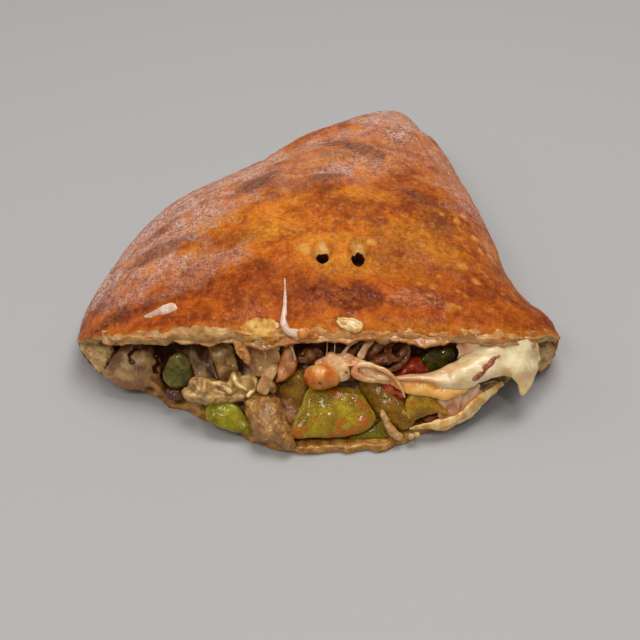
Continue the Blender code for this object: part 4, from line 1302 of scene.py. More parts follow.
def pepper_pieces():
    olive = pepper_look("olive_pepper", (0.14, 0.056, 0.003), (0.26, 0.122, 0.004), (0.38, 0.22, 0.01), 0.6)
    table = (
        # name, node, slot, look, (forward, thickness, bulge, lean, slant), outline
        (
            "pepper_panel_big", "pepper_big", "pepper",
            pepper_look("cooked_pepper", (0.22, 0.12, 0.003), (0.34, 0.21, 0.005), (0.46, 0.34, 0.012), 0.85),
            (2.5, 4.0, 1.4, -0.1, -0.05),
            (
                (-5, -57), (-8.5, -66), (-12, -75.5), (-12, -79.5), (-2, -80), (8, -79.7), (17, -78.5),
                (24, -75.5), (27, -70.5), (25, -65), (21, -59.5), (14, -56), (4, -55.5),
            ),
        ),
        (
            "pepper_panel_middle", "pepper_olive_middle", "pepper", olive, (2.5, 4.0, 0.8, 0.1, 0.25),
            (
                (-18.5, -57.5), (-15.5, -53), (-11, -49), (-8, -48), (-5.5, -53), (-5.2, -60), (-7.5, -67),
                (-11.5, -73), (-14.5, -69), (-16.5, -63),
            ),
        ),
        (
            "pepper_strip_long", "pepper_strip", "pepper", olive, (2.5, 3.4, 1.0, -0.05, 0.2),
            (
                (19, -54), (26.5, -51), (31.5, -55), (37, -60.5), (41, -63), (44, -69), (45.5, -72),
                (42, -75.5), (38, -75.5), (31, -70.5), (24.5, -64),
            ),
        ),
        (
            "pepper_leaf_right", "pepper_right", "pepper",
            pepper_look("amber_pepper", (0.26, 0.12, 0.005), (0.42, 0.225, 0.008), (0.56, 0.37, 0.028), 0.6),
            (8.5, 2.2, 1.4, 0.1, -0.1),
            (
                (41, -65), (43, -59.5), (46.5, -55.5), (51, -57.5), (56, -61.5), (60, -66.5), (62, -69),
                (56, -68), (48.5, -70.7), (44, -71.7),
            ),
        ),
        (
            "pepper_lime_left", "pepper_lime", "pepper_light",
            pepper_look("lime_pepper", (0.18, 0.145, 0.003), (0.26, 0.24, 0.004), (0.4, 0.37, 0.014), 0.12),
            (3.0, 3.4, 0.5, -0.1, -0.05),
            (
                (-52.6, -65.4), (-51.6, -64.2), (-42.5, -62.2), (-40.8, -62.5), (-35.6, -67.8),
                (-30.9, -77.0), (-31.8, -78.2), (-38.5, -77.4), (-46, -74.6), (-51.8, -71.6),
                (-52.6, -70.2),
            ),
        ),
        (
            "pepper_lime_tip", "pepper_leaf", "pepper_light",
            pepper_look("pepper_leaf", (0.13, 0.1, 0.002), (0.2, 0.165, 0.003), (0.3, 0.26, 0.01), 0.2),
            (1.5, 2.4, 0.6, 0.0, 0.0),
            ((15.5, -79.6), (20, -77.8), (26, -74), (30, -71.8), (32, -75), (33.5, -79.2), (25, -80.4)),
        ),
        (
            "pepper_dark_leftmost", "pepper_dark_left", "pepper_dark",
            pepper_look(
                "moss_pepper", (0.05, 0.042, 0.005), (0.12, 0.1, 0.01), (0.24, 0.2, 0.03), 0.35,
                (0.32, 0.26, 0.05)
            ),
            (3.0, 5.0, 0.6, 0.2, 0.1),
            (
                (-73, -50.5), (-70.5, -43.5), (-66.5, -39.5), (-61.5, -41.5), (-59, -46), (-59, -51.5),
                (-63, -55.7), (-69.5, -55.5),
            ),
        ),
        (
            "pepper_dark_deep", "pepper_dark_right", "pepper_dark",
            pepper_look(
                "dark_pepper", (0.022, 0.018, 0.002), (0.06, 0.048, 0.003), (0.17, 0.13, 0.01), 0.35,
                (0.2, 0.15, 0.012)
            ),
            (2.0, 4.5, 1.5, 0.1, 0.0),
            (
                (47.5, -43.5), (50, -39.5), (56, -36.7), (63, -37), (64.7, -40.5), (61.5, -44), (57, -48.5),
                (52.5, -49), (50, -46),
            ),
        ),
    )
    dents = ((9, 0.7, 1), (4, 0.3, 2), (1.8, 0.1, 3))
    for seed, (name, node, slot, look, (forward, *form), outline) in enumerate(table):
        shape = panel(outline, out_of(node) + forward, *form, 8.0, dents, 150, 40, seed)
        if node == "pepper_big":
            shape[2]["sauce"] = sauce_on(shape[0])
        piece(name, look, slot, node, shape)


# ---------------------------------------------------------------- meat


def sausage_piece():
    outline = (
        (-35, -63.5), (-32, -60.3), (-27, -59), (-21.5, -60), (-17.5, -63.5), (-16, -68.5), (-15, -72.5),
        (-12, -76), (-11.5, -80), (-10.5, -83.5), (-14, -85.8), (-20, -82), (-27.5, -82), (-31, -77),
        (-33, -70),
    )
    out = out_of("sausage") + 3.0
    dents = ((6, 0.8, 5),)
    points, faces, marks = panel(outline, out, 13, 2, -0.3, rim=2.6, dents=dents, around=210, rings=90)
    near, _, _ = cells(points, 5.0, 81)
    height = 0.9 * (1 - near**2) - 0.7 + 0.55 * noise(points, 3.0, 82) + 0.3 * noise(points, 1.3, 83)
    look = soft_look(
        "cooked_sausage", (0.17, 0.068, 0.014), (0.33, 0.152, 0.034), (0.54, 0.28, 0.074), 5.0, (0.25, 0.5),
        0.5, 0.15, 1.12
    )
    piece("sausage_piece", look, "sausage", "sausage", (raised(points, faces, height), faces, marks))


def glazed_sausage():
    """The piece in orange sauce, the pale cheese on it, and its burnt specks."""
    out = out_of("sausage_glazed")
    dents = ((5, 0.7, 1), (2.4, 0.2, 2))
    round_end = (
        (-6.7, -52), (-6.3, -49), (-3.5, -46.5), (1.5, -45.5), (6.5, -46.5), (10, -49.5), (11, -53),
        (8, -55.5), (1, -57.6), (-4, -56),
    )
    body = panel(round_end, out + 3, 9, 1.5, rim=2.2, dents=dents, seed=1)
    knob = lump(seen(7.5, -51.5, out + 4), (6, 5, 4), 20, dents, seed=2)
    piece("sausage_in_sauce", ORANGE, "glazed", "sausage_glazed", body, knob)
    top = (
        (-1.5, -44.8), (4, -41), (10.5, -39.5), (18, -41.5), (23.5, -44), (22, -46), (16, -46.5), (15, -51),
        (11, -53), (4, -49.5),
    )
    pale = panel(top, out + 1, 4, 2.0, lean=-0.1, rim=3, dents=((4, 0.9, 1), (2, 0.3, 2)), seed=3)
    piece("pale_cheese_on_sausage", SKIN_PINK, "cream_cheese", None, pale)
    table = (
        # across, up, forward, size, turn, height and seed of the unevenness
        (0.9, -53.0, 8.6, (1.0, 2.4, 1.2), -8, 0.35, 1),
        (1.5, -54.2, 8.2, (1.2, 0.9, 1.0), 20, 0.35, 2),
        (1.6, -51.9, 8.6, (0.9, 0.7, 0.9), 20, 0.35, 2),
        (13.5, -49.0, 5.4, (0.8, 0.6, 0.7), 0, 0.3, 2),
        (12.0, -50.3, 5.2, (0.7, 0.6, 0.7), 0, 0.3, 2),
    )
    specks = []
    for seed, (across, up, forward, size, turn, tall, dent_seed) in enumerate(table, 14):
        specks.append(lump(seen(across, up, out + forward), size, turn, ((1, tall, dent_seed),), 3, seed))
    piece("burnt_specks", DARK, "glazed", None, *specks)


def ham_pieces():
    out = out_of("ham_right")
    dents = ((3.5, 0.6, 1), (1.8, 0.25, 2))
    slice_line = (
        (56, -56.5), (64, -55.8), (73, -55.3), (74, -59), (69, -65), (64, -70.5), (59.5, -71), (57.5, -66)
    )
    lump_line = ((50, -69.8), (54, -67.6), (58.8, -67.6), (59.4, -70.2), (55.5, -71.8), (51, -72.3))
    strip = ((85.5, -40.8, 1.8), (82, -43.6, 2.8), (78.5, -47.0, 3.4), (75.5, -50.0, 3.6), (72.5, -52.5, 2.2))
    on_pull = surface_finder(pull_shape())
    strip = [(across, up, on_pull(across, up, 103.0) - 0.45, wide, 1.4) for across, up, wide in strip]
    look = soft_look(
        "pink_ham", (0.14, 0.018, 0.006), (0.3, 0.05, 0.018), (0.5, 0.17, 0.075), 3.6, (0.15, 0.35), 0.6
    )
    piece(
        "ham_and_sauce", look, "ham", "ham_right",
        panel(slice_line, out + 3, 4, 2.0, rim=4, dents=dents, seed=4),
        panel(lump_line, out + 5, 4, 1.0, rim=3, dents=dents, seed=5),
        strand(strip, 18, 0.4, ((2.4, 0.35, 1),)),
    )
    char = ((-71.5, -58.5), (-69.5, -56), (-64, -57.3), (-62.8, -60.5), (-67, -62), (-71, -61.5))
    bit = panel(char, 86, 4, 1, rim=3, dents=((2.5, 0.9, 1), (1.2, 0.3, 2)), seed=6)
    piece("charred_bit_left", DARK, "glazed", None, bit)


# ---------------------------------------------------------------- tomato and mushroom


def tomato_pieces():
    dents = ((3.5, 1.0, 1), (1.8, 0.45, 2))
    back = (
        (36, -51.5), (37, -48), (41, -44), (45, -41.8), (49, -42.5), (52.5, -48), (48, -49.5),
        (42.5, -50.7), (38, -52)
    )
    shape = panel(back, out_of("tomato_back") + 2, 5, 1.5, rim=3, dents=dents, seed=1)
    piece("tomato_deep", TOMATO, "tomato", "tomato_back", shape)
    front = (
        (27, -50.3), (32, -49.3), (34.3, -53), (37, -56), (41.5, -59.5), (41.3, -61.3), (37.5, -61.5),
        (32, -58.5), (29, -54.5),
    )
    shape = panel(front, out_of("tomato_front") + 3, 3.6, 1.2, rim=3, dents=dents, seed=2)
    piece("tomato_in_front", TOMATO, "tomato", "tomato_front", shape)


def mushroom_pieces():
    out = out_of("mushroom_right")
    outline = (
        (75.5, -57.8), (76.5, -54.3), (81, -52.3), (85.5, -52.3), (85, -55), (80.5, -56.3), (77, -58.4)
    )
    line = open_line(((75, -57), (78, -54.3), (82, -53), (86, -53.5)), 7)
    wide = 1.8 * (0.55 + 0.55 * np.sin(math.pi * np.linspace(0.12, 0.88, 7)) ** 2)
    lift = out + 2 + 1.5 * np.sin(np.linspace(0, math.pi, 7))
    rim = [(*spot, up, width, 1.4) for spot, up, width in zip(line, lift, wide)]
    piece(
        "mushroom_slices", MUSHROOM, "mushroom", "mushroom_right",
        panel(outline, out + 1, 2.6, 0.8, rim=4, dents=((3, 0.5, 1),), seed=1),
        strand(rim, 22, 0.35, ((3.2, 0.55, 3), (1.6, 0.22, 4)), 2),
    )
    out = out_of("mushroom_stick")
    stick = (
        (29.8, -66.5, out + 4, 2.2, 2.0),
        (31.3, -70.0, out + 4, 3.0, 2.4),
        (33.2, -74.0, out + 3, 4.0, 3.0),
        (36.0, -78.0, out + 2, 4.4, 3.2),
        (40.0, -80.3, out + 1, 3.4, 2.8),
    )
    piece(
        "mushroom_stalk", MUSHROOM, "mushroom", "mushroom_stick",
        strand(stick, 28, 0.4, ((3, 0.5, 1), (1.5, 0.2, 2))),
        lump(seen(43.8, -79.0, out + 1), (3.4, 3.0, 2.6), 0, ((2, 0.3, 1),), 4, 1),
        lump(seen(46.6, -78.3, out + 1), (3.0, 2.6, 2.4), 0, ((2, 0.3, 1),), 4, 2),
    )


# ---------------------------------------------------------------- onion

# Ridges of the melted onion: height, width, and the line across and up that a curled piece in it follows.
ONION_RIDGES = (
    (2.4, 4.6, ((-59.6, -53.0), (-57.4, -54.6), (-56.0, -57.2))),
    (3.0, 4.4, ((-52.6, -53.4), (-52.2, -58.6), (-49.0, -61.8), (-44.0, -61.0))),
    (2.2, 4.2, ((-50.0, -53.8), (-46.1, -54.0), (-43.4, -55.9), (-40.8, -58.2))),
    (2.8, 3.8, ((-39.3, -50.2), (-37.6, -54.4), (-33.9, -56.4))),
    (2.8, 3.4, ((-29.6, -51.9), (-29.1, -55.6), (-32.4, -59.4))),
    (1.6, 5.0, ((-61.0, -60.2), (-56.0, -61.4))),
    (1.6, 4.2, ((-40.4, -61.6), (-36.0, -60.4))),
    (1.6, 3.4, ((-47.0, -57.6), (-44.0, -58.4))),
)


def onion_mass():
    """Melted onion, with the curled pieces in it as ridges."""
    outline = (
        (-61, -55), (-58, -51.6), (-52, -51.4), (-46, -52.2), (-41.5, -52.8), (-40, -48.6), (-37, -48.8),
        (-35.2, -51.4), (-32.5, -49.2), (-29.3, -50.2), (-27.3, -54), (-27.5, -58), (-30, -61), (-36, -62.5),
        (-44, -64.2), (-53, -64), (-60, -62.5), (-63.5, -59),
    )
    dents = ((6, 1.0, 3), (2.6, 0.4, 4))
    out = out_of("onion_curls") + 4.0
    points, faces, marks = panel(outline, out, 3.5, 1.6, rim=3, dents=dents, around=240, rings=100, seed=8)
    height, ridge = np.zeros((2, len(points)))
    for index, (tall, wide, line) in enumerate(ONION_RIDGES):
        far = far_from(points, line) * 2 / wide + 0.3 * noise(points, 3.0, 150 + index)
        round_top = np.exp(-1.3 * np.abs(far) ** 2.6)
        height = np.maximum(height, tall * round_top * (1 + 0.5 * noise(points, 3.5, 170 + index)))
        ridge = np.maximum(ridge, round_top)
    marks["rim"] = ridge * (0.75 + 0.4 * noise(points, 4, 121))
    look = melted_look(
        "cooked_onion", (0.27, 0.13, 0.034), (0.47, 0.26, 0.076), (0.68, 0.44, 0.16), 4, 0.8,
        rim=(0.9, 0.65, 0.28)
    )
    shape = points + (height * (marks["front"] > 0))[:, None] * OUT, faces, marks
    piece("onion_in_curls", look, "onion", "onion_curls", shape)


def onion_behind():
    """Sheets of onion round the melted mass, and a strand right of it."""
    out = out_of("onion_curls")
    tan = (
        (-52, -36.5), (-45.5, -35), (-40, -36.5), (-38.3, -43), (-38, -49), (-41.5, -52.3), (-45.5, -52.3),
        (-48, -48), (-50, -42),
    )
    right = ((-26, -52.5), (-22, -52), (-19.5, -55.5), (-20.5, -58.5), (-24.5, -57))
    left = ((-64, -57), (-58, -56), (-53, -60), (-54, -65), (-58, -65), (-63, -61.5))
    dents = ((2.6, 0.7, 3), (1.3, 0.25, 4))
    look = melted_look("dull_onion", (0.17, 0.07, 0.014), (0.34, 0.17, 0.045), (0.54, 0.34, 0.12), 5, 0.4)
    piece(
        "onion_sheets_behind", look, "onion", None,
        panel(tan, out + 1, 2.0, 1.0, lean=0.1, rim=6, dents=((5, 1.0, 8), (2, 0.2, 9)), seed=7),
        panel(right, out + 9, 3.0, 1.0, rim=3, dents=dents, seed=8),
        panel(left, out + 1, 3, 1, rim=3, dents=dents, seed=9),
    )
    line = (
        (-19.5, -45.5, 101, 4.0, 1.8), (-22.5, -49.5, 102, 5.0, 2.0), (-25.0, -54.0, 102, 5.5, 2.2),
        (-26.0, -59.5, 101, 6.0, 2.4),
    )
    look = melted_look("tan_cheese", (0.42, 0.18, 0.05), (0.6, 0.34, 0.12), (0.74, 0.51, 0.24))
    piece("onion_strand_middle", look, "onion", None, strand(line, 30, 0.4, ((3, 0.5, 1),)))


def onion_deep():
    """The curled ring and the slices deep in the middle."""
    out = out_of("onion_ribbon")
    loop = (
        # across, up, forward, width
        (41.0, -32.5, 0, 2.4), (36.5, -33.8, 2, 3.2), (33.4, -36.6, 4, 3.4), (33.2, -40.4, 5, 3.6),
        (36.4, -42.4, 5, 3.4), (39.8, -39.8, 4, 3.2), (41.8, -36.6, 3, 3.0), (42.2, -40.5, 2, 3.0),
        (38.6, -45.4, 3, 3.4), (33.0, -48.5, 4, 2.2),
    )
    loop = [(across, up, out + forward, wide, 1.4) for across, up, forward, wide in loop]
    piece("onion_ring_curled", BROWN_ONION, "onion", "onion_ribbon", strand(loop, 20, 0.4, ((2.5, 0.3, 1),)))
    table = (
        # out, thickness, bulge, outline
        (99, 1.8, 1.5, ((18.5, -43.5), (23, -37), (31, -32.5), (35, -33.5), (30, -38.5), (24, -44))),
        (101, 1.6, 1.0, ((24.5, -44), (32, -39.5), (36, -42), (33.5, -45), (27.5, -46))),
        (98, 1.6, 1.2, ((12.5, -41), (17, -36), (23, -32.5), (24, -35), (19, -39), (15, -42.5))),
        (98, 2.2, 1.2, ((-10, -44), (-7, -38), (0, -37), (3, -40.5), (-2, -44.5))),
    )
    slices = []
    for seed, (out, thick, bulge, outline) in enumerate(table, 11):
        slices.append(panel(outline, out, thick, bulge, dents=((3.5, 0.8, 1), (1.8, 0.25, 2)), seed=seed))
    piece("onion_slices_deep", BROWN_ONION, "onion", None, *slices)


def onion_films():
    out = out_of("onion_film_left")
    top = ((-71, -33.5, out - 14), (-64, -34.5, out - 9), (-57, -35.5, out - 5), (-50, -36.5, out - 2))
    low = ((-68, -38.5, out - 10), (-62, -41.5, out - 5), (-56, -44.5, out), (-46.5, -53.5, out + 5))
    upper = film(top, low, 0.7, holes=0.1, torn=0.1, sag=1.5, folds=0.35, seed=1)
    top = ((-62, -41.0, out - 5), (-56, -44.0, out - 1), (-51, -46.5, out + 1), (-46, -50.5, out + 4))
    low = ((-58.5, -47.5, out - 1), (-57, -52.0, out + 1), (-52, -55.0, out + 3), (-47, -56.5, out + 5))
    lower = film(top, low, 0.6, holes=0.55, hole=5.5, torn=0.08, sag=1.0, folds=0.3, seed=2)
    look = film_look("grey_onion_film", (0.15, 0.07, 0.018), (0.42, 0.25, 0.1), 0.1, 0.42, 0.05)
    piece("onion_film", look, "onion", "onion_film_left", upper, lower)


# ---------------------------------------------------------------- cheese

CHUNK_CRACKS = (
    ((-100.5, -47.0), (-98.0, -43.0), (-95.0, -38.5), (-93, -36)),
    ((-86.8, -43.8), (-88.3, -41.2), (-86.3, -38.0), (-85, -35)),
    ((-75.0, -36.5), (-76.8, -41.0), (-75.2, -44.5), (-76.6, -47.0), (-75.0, -49)),
)
# The lower edge of the cheese under the crust's upper lip: across, up.
LINING_EDGE = (
    (-101, -35.5), (-94, -36.5), (-88, -35.2), (-79, -33.5), (-66, -34.8), (-58, -35.8), (-51, -36.8),
    (-45, -34.8), (-38, -35.2), (-32, -36.6), (-26, -38.8), (-22.5, -38.2), (-17, -36.6), (-10, -35.2),
    (-3, -34), (4, -34.5), (10, -34.2), (14, -36.2), (18, -34), (26, -33.4), (33, -33.4), (42, -35),
    (47, -36), (50.5, -37.8), (56, -35.8), (62, -35.2), (64.5, -33.2), (70, -33.2), (75, -35.8),
    (80, -36.8), (88, -36.4), (96, -36), (102, -37),
)
LINING_TOP = -29.5
LINING_COLUMNS = 420
LINING_ROWS = 18
# The cheese that hangs at the right: its upper line, of across, up, out and thickness, and its lower line.
PULL_UPPER = (
    (37, -51.2, 105, 1.6), (44, -49.9, 104, 2.6), (52, -49.0, 103, 3.6), (58, -47.4, 102, 4.8),
    (63.5, -44.2, 101, 5.6), (67, -41.4, 100, 6.0), (71, -39.0, 99, 6.4), (75, -36.2, 98, 6.6),
    (81, -33.8, 97, 7.0), (90, -32.6, 95, 7.0), (98, -32.4, 91, 6.5), (103.5, -34.5, 86, 5.0),
)
PULL_LOWER = (
    (37, -52.6, 105), (44, -53.0, 105), (52, -54.6, 105), (58.5, -56.2, 105), (65, -56.9, 104),
    (72, -56.2, 103), (78.5, -52.6, 101), (84, -50.2, 99), (89, -50.4, 97), (92.0, -52.5, 96),
    (94.0, -56.8, 95), (96.3, -59.4, 94), (99.5, -56.0, 91), (102.0, -50.5, 88), (104.2, -43.0, 85),
)


def cheese_chunk():
    """Folded cheese and dough at the left, with cracks pushed in, which its look paints dark as shade."""
    outline = (
        (-100, -51.5), (-99.5, -45.5), (-95.5, -38.5), (-89.5, -34.5), (-83, -33.5), (-78.5, -35.5),
        (-76, -42), (-75.2, -47), (-74.0, -52.0), (-71.6, -56.4), (-70.0, -60.6), (-74.6, -59.4),
        (-78.5, -57.0), (-85.5, -58), (-91, -56.3), (-96.5, -53.6),
    )
    out = out_of("cheese_chunk_left") + 3
    dents = ((8, 1.6, 1), (3.5, 0.5, 2))
    points, faces, marks = panel(outline, out, 8, 2.5, slant=0.1, rim=3, dents=dents, around=260, rings=120)
    creased = points * np.array((1.0, 0.45, 0.45))
    height = 0.9 * noise(creased, 4.5, 63) - 0.5 * smooth(np.abs(noise(creased, 7, 68)), 0.25, 0.0)
    points = raised(points, faces, height)
    crack = np.zeros(len(points))
    for line in CHUNK_CRACKS:
        far = far_from(points, line)
        crack = np.maximum(crack, smooth(far + 0.9 * noise(points, 2.2, 61), 1.3, 0.26))
    points = points - crack[:, None] * OUT * 1.6
    marks["crack"] = crack
    marks["toasted"] = smooth(points @ UP, -52, -57)
    return points, faces, marks


def lining_shape():
    """Melted cheese under the upper lip, with small drips."""
    left, right = LINING_EDGE[0][0], LINING_EDGE[-1][0]
    across = np.linspace(left, right, LINING_COLUMNS)
    stations = np.linspace(left, right, 44)
    lip = np.array([surface_out(x, -33.0) for x in stations])
    lip = np.convolve(np.pad(lip, 2, mode="edge"), (0.1, 0.2, 0.4, 0.2, 0.1), mode="valid")
    out = np.interp(across, stations, lip)
    edge = np.interp(across, *np.array(LINING_EDGE, float).T)
    line = np.stack([across, np.zeros_like(across), np.zeros_like(across)], -1)
    edge = edge + 0.45 * rough(line, 4.5, 64) + 0.25 * noise(line, 1.6, 65)
    share = np.linspace(0, 1, LINING_ROWS)[:, None]
    up = LINING_TOP + (edge - LINING_TOP) * share
    middle = smooth(across, -26, -12) * smooth(across, 66, 54)
    depth = out - 3.2 + 1.7 * share**2 + middle * (0.4 + 2.0 * share)
    flat = seen(np.broadcast_to(across, up.shape), up, depth).reshape(-1, 3)
    faces = grid_faces(len(share), len(across))
    thick = np.broadcast_to(2.2 - 0.8 * share, up.shape).reshape(-1)
    points, faces, marks = thickened(flat, faces, thick)
    return dented(points, faces, ((4, 0.5, 66), (1.8, 0.15, 67))), faces, marks


def pull_shape():
    """Thick melted cheese that hangs from the lip at the right and is drawn out to the left."""
    points, faces, marks = band(PULL_UPPER, PULL_LOWER, sides=90, step=0.35, bulge=1.5)
    height = 1.2 * noise(points * np.array((0.6, 1.0, 1.0)), 7.0, 101)
    height += 0.4 * noise(points * np.array((0.3, 1.0, 1.0)), 3.0, 102) + 0.35 * noise(points, 4.0, 103)
    marks["rim"] = 1.15 * smooth(points[:, 0], 84, 96) * smooth(points @ UP, -40, -53)
    return raised(points, faces, height), faces, marks


def cheese_at_lip():
    """The folded cheese at the left, the lining under the lip and the orange drip."""
    piece("cheese_folded_left", chunk_look(), "cream_cheese", "cheese_chunk_left", cheese_chunk())
    look = melted_look("lip_cheese", (0.4, 0.13, 0.03), (0.52, 0.22, 0.062), (0.66, 0.38, 0.145), coat=0.7)
    piece("cheese_under_lip", look, "cheese", "cheese_lining", lining_shape())
    drip = (
        (-20, -53.5), (-19.5, -48), (-17, -41.5), (-15, -35.5), (-11.5, -35), (-10.5, -40.5), (-9.7, -45.5),
        (-12, -49.8), (-17, -53.5),
    )
    out = out_of("cheese_drip_middle")
    shape = panel(drip, out + 2, 3.2, 1.8, lean=-0.05, dents=((4, 0.7, 1), (2, 0.2, 2)))
    look = melted_look(
        "orange_drip", (0.38, 0.105, 0.024), (0.5, 0.185, 0.052), (0.64, 0.32, 0.12), rim=(0.56, 0.13, 0.015)
    )
    piece("cheese_drip_orange", look, "glazed", "cheese_drip_middle", shape)


def cheese_loop():
    out = out_of("cheese_loop")
    loop = (
        # across, up, forward, width, thickness
        (41.0, -61.0, -1, 1.2, 1.2), (39.3, -56.6, 0, 1.6, 1.5), (36.6, -52.4, 1, 1.9, 1.6),
        (33.0, -49.0, 2, 2.3, 1.8), (28.0, -46.6, 2, 2.5, 2.0), (22.5, -45.2, 2, 2.8, 2.2),
        (18.0, -46.2, 2, 3.0, 2.4), (17.3, -49.4, 2, 3.0, 2.4), (21.5, -51.8, 1, 2.8, 2.2),
        (28.0, -52.4, 0, 2.8, 2.0), (34.5, -52.6, -1, 3.4, 2.0),
    )
    loop = [(across, up, out + forward, *size) for across, up, forward, *size in loop]
    sheet = (
        (18.5, -47.5), (23, -46), (28.5, -47.5), (33.5, -50), (36.5, -53), (33, -53.2), (27, -52.5),
        (21, -51.8)
    )
    piece(
        "cheese_loop_pink", SKIN_PINK, "cream_cheese", "cheese_loop",
        strand(loop, 24, dents=((3, 0.35, 1), (1.4, 0.1, 2))),
        panel(sheet, out + 0.6, 1.6, 0.4, dents=((4, 0.5, 3), (1.8, 0.15, 4)), seed=5),
    )


def cheese_pull():
    """The cheese that hangs at the right, with the sauce and the browned edge under it."""
    look = melted_look(
        "cream_cheese", (0.68, 0.43, 0.18), (0.82, 0.64, 0.35), (0.9, 0.78, 0.49), 9, 0.8, (0.82, 0.54, 0.23),
        (0.74, 0.42, 0.19)
    )
    piece("cheese_pull", look, "cream_cheese", "cheese_pull_right", pull_shape())
    upper = (
        (33, -51.0, 104, 2.4), (42, -51.5, 104, 2.8), (52, -53.0, 104, 3.0), (63, -55.5, 103.4, 2.6),
        (72, -56.0, 102.5, 2.0),
    )
    lower = ((34, -54.5, 103.5), (41, -58.5, 104), (50, -60.5, 104), (60, -62.0, 103.5), (69, -58.5, 102.5))
    look = melted_look("peach_sauce", (0.84, 0.28, 0.03), (0.96, 0.43, 0.08), (0.97, 0.58, 0.19), coat=0.8)
    piece("sauce_under_pull", look, "glazed", None, band(upper, lower, dents=((5, 0.7, 1), (2, 0.2, 2))))
    upper = (
        (87, -53.0, 91, 3.4), (80, -56.8, 94.5, 4.2), (73.5, -61.6, 97, 4.4), (67, -67.4, 99, 4.6),
        (58, -71.0, 100.5, 4.2), (50, -73.0, 101, 2.8), (43, -75.0, 102, 1.4),
    )
    lower = (
        (88, -55.0, 89), (80.5, -61.5, 92), (74.5, -67.8, 94), (66, -73.5, 96), (58, -76.3, 98),
        (50, -76.0, 99.5), (43, -75.8, 101),
    )
    piece("melted_edge_right", EDGE, "glazed", None, band(upper, lower, dents=((4, 0.7, 1), (2, 0.25, 2))))


def cheese_films():
    look = film_look("clear_cheese", (0.8, 0.36, 0.18), (0.94, 0.64, 0.38), 0.34, 0.9, 0.22)
    upper = ((54, -57.0, 102), (63, -55.0, 102), (77, -54.5, 100))
    lower = ((56, -72.0, 97.5), (66, -69.5, 95.5), (79, -60.5, 92))
    wide = film(upper, lower, 0.7, sag=1.0, folds=0.15, seed=3)
    upper = ((64, -33.0, 101), (70, -33.0, 101), (77, -34.5, 100))
    lower = ((65.5, -42.5, 98), (69, -40.5, 99), (77, -38.5, 99))
    piece("cheese_films", look, "cream_cheese", None, wide, film(upper, lower, 1.0, seed=5))
    look = melted_look("dull_cheese_sheet", (0.34, 0.14, 0.035), (0.52, 0.26, 0.08), (0.66, 0.4, 0.16))
    upper = ((-35, -35.5, 98), (-28, -37.0, 100), (-22, -37.0, 101), (-16, -36.0, 102))
    lower = ((-32, -51.0, 97), (-27, -52.5, 99), (-23, -51.5, 100), (-18, -48.5, 101))
    sheet = film(upper, lower, 1.4, torn=0.1, frayed=1.3, sag=-1.0, folds=1.0, seed=4)
    piece("cheese_sheet_middle", look, "cream_cheese", None, sheet)


def cheese_threads():
    table = (
        # sides, step, rows of across, up, out, width and thickness
        (10, 0.5, (4.2, -33, 105, 0.8, 0.7), (4.4, -37, 105.5, 0.45, 0.4), (4.0, -42.0, 106, 0.8, 0.7)),
        (10, 0.5, (8.2, -33, 105, 0.8, 0.7), (8.0, -37, 105.5, 0.45, 0.4), (7.6, -41.5, 106, 0.8, 0.7)),
        (10, 0.5, (-25.5, -37, 104, 1.0, 0.9), (-25.0, -39.5, 104, 0.5, 0.4), (-24.6, -42.5, 103, 0.5, 0.4)),
        (10, 0.5, (-13.0, -36, 104, 1.4, 1.0), (-11.5, -39.5, 104, 0.8, 0.6), (-10.5, -43.5, 103, 1.2, 0.8)),
        (
            14, 0.4, (19.0, -33.5, 104, 2.2, 0.9), (15.5, -35.6, 104.5, 1.6, 0.8),
            (13.0, -38.6, 105, 1.6, 0.8), (11, -41.5, 106, 2.2, 1.0),
        ),
        (18, 0.4, (26.0, -33.0, 104, 3.6, 1.0), (22.6, -36.9, 104.5, 3.0, 0.9), (19.5, -42.5, 105, 4.2, 1.2)),
    )
    threads = [strand(rows, sides, step) for sides, step, *rows in table]
    piece("cheese_threads", SKIN_PINK, "cream_cheese", None, *threads)


def cheese_on_crust():
    """The string left of the vents and the smear at the left."""
    string = (
        (-15.6, -4.5, 0.7, 0.6), (-15.4, -12.0, 1.3, 1.1), (-15.7, -20.0, 2.2, 1.7), (-16.0, -26.0, 3.0, 2.2),
        (-14.0, -29.6, 3.6, 2.6), (-10.5, -30.4, 3.8, 2.6), (-7.0, -29.8, 3.0, 2.4),
    )
    tail = ((-16.0, -27.0, 106.5, 2.6, 2.0), (-15.8, -32.0, 106.5, 2.2, 1.6), (-15.0, -37.0, 106.5, 1.0, 0.9))
    piece(
        "cheese_string", PALE_STRING, "cream_cheese", "cheese_string_top",
        strand(laid(string, 0.6), 22, dents=((2.4, 0.25, 1),)),
        strand(tail, 16),
    )
    smear = (
        (-82, -22.8, 1.2, 0.8), (-78.5, -22.2, 3.2, 1.2), (-75, -20.6, 4.2, 1.6), (-69.5, -18.9, 5.4, 2.0),
        (-66.2, -18.0, 6.0, 2.2),
    )
    shape = strand(laid(smear, 0.4), 24, dents=((4.5, 0.5, 1), (1.2, 0.12, 2)))
    piece("cheese_smear", PALE_STRING, "cream_cheese", "cheese_smear_left", shape)


# ---------------------------------------------------------------- bits along the crust's lips


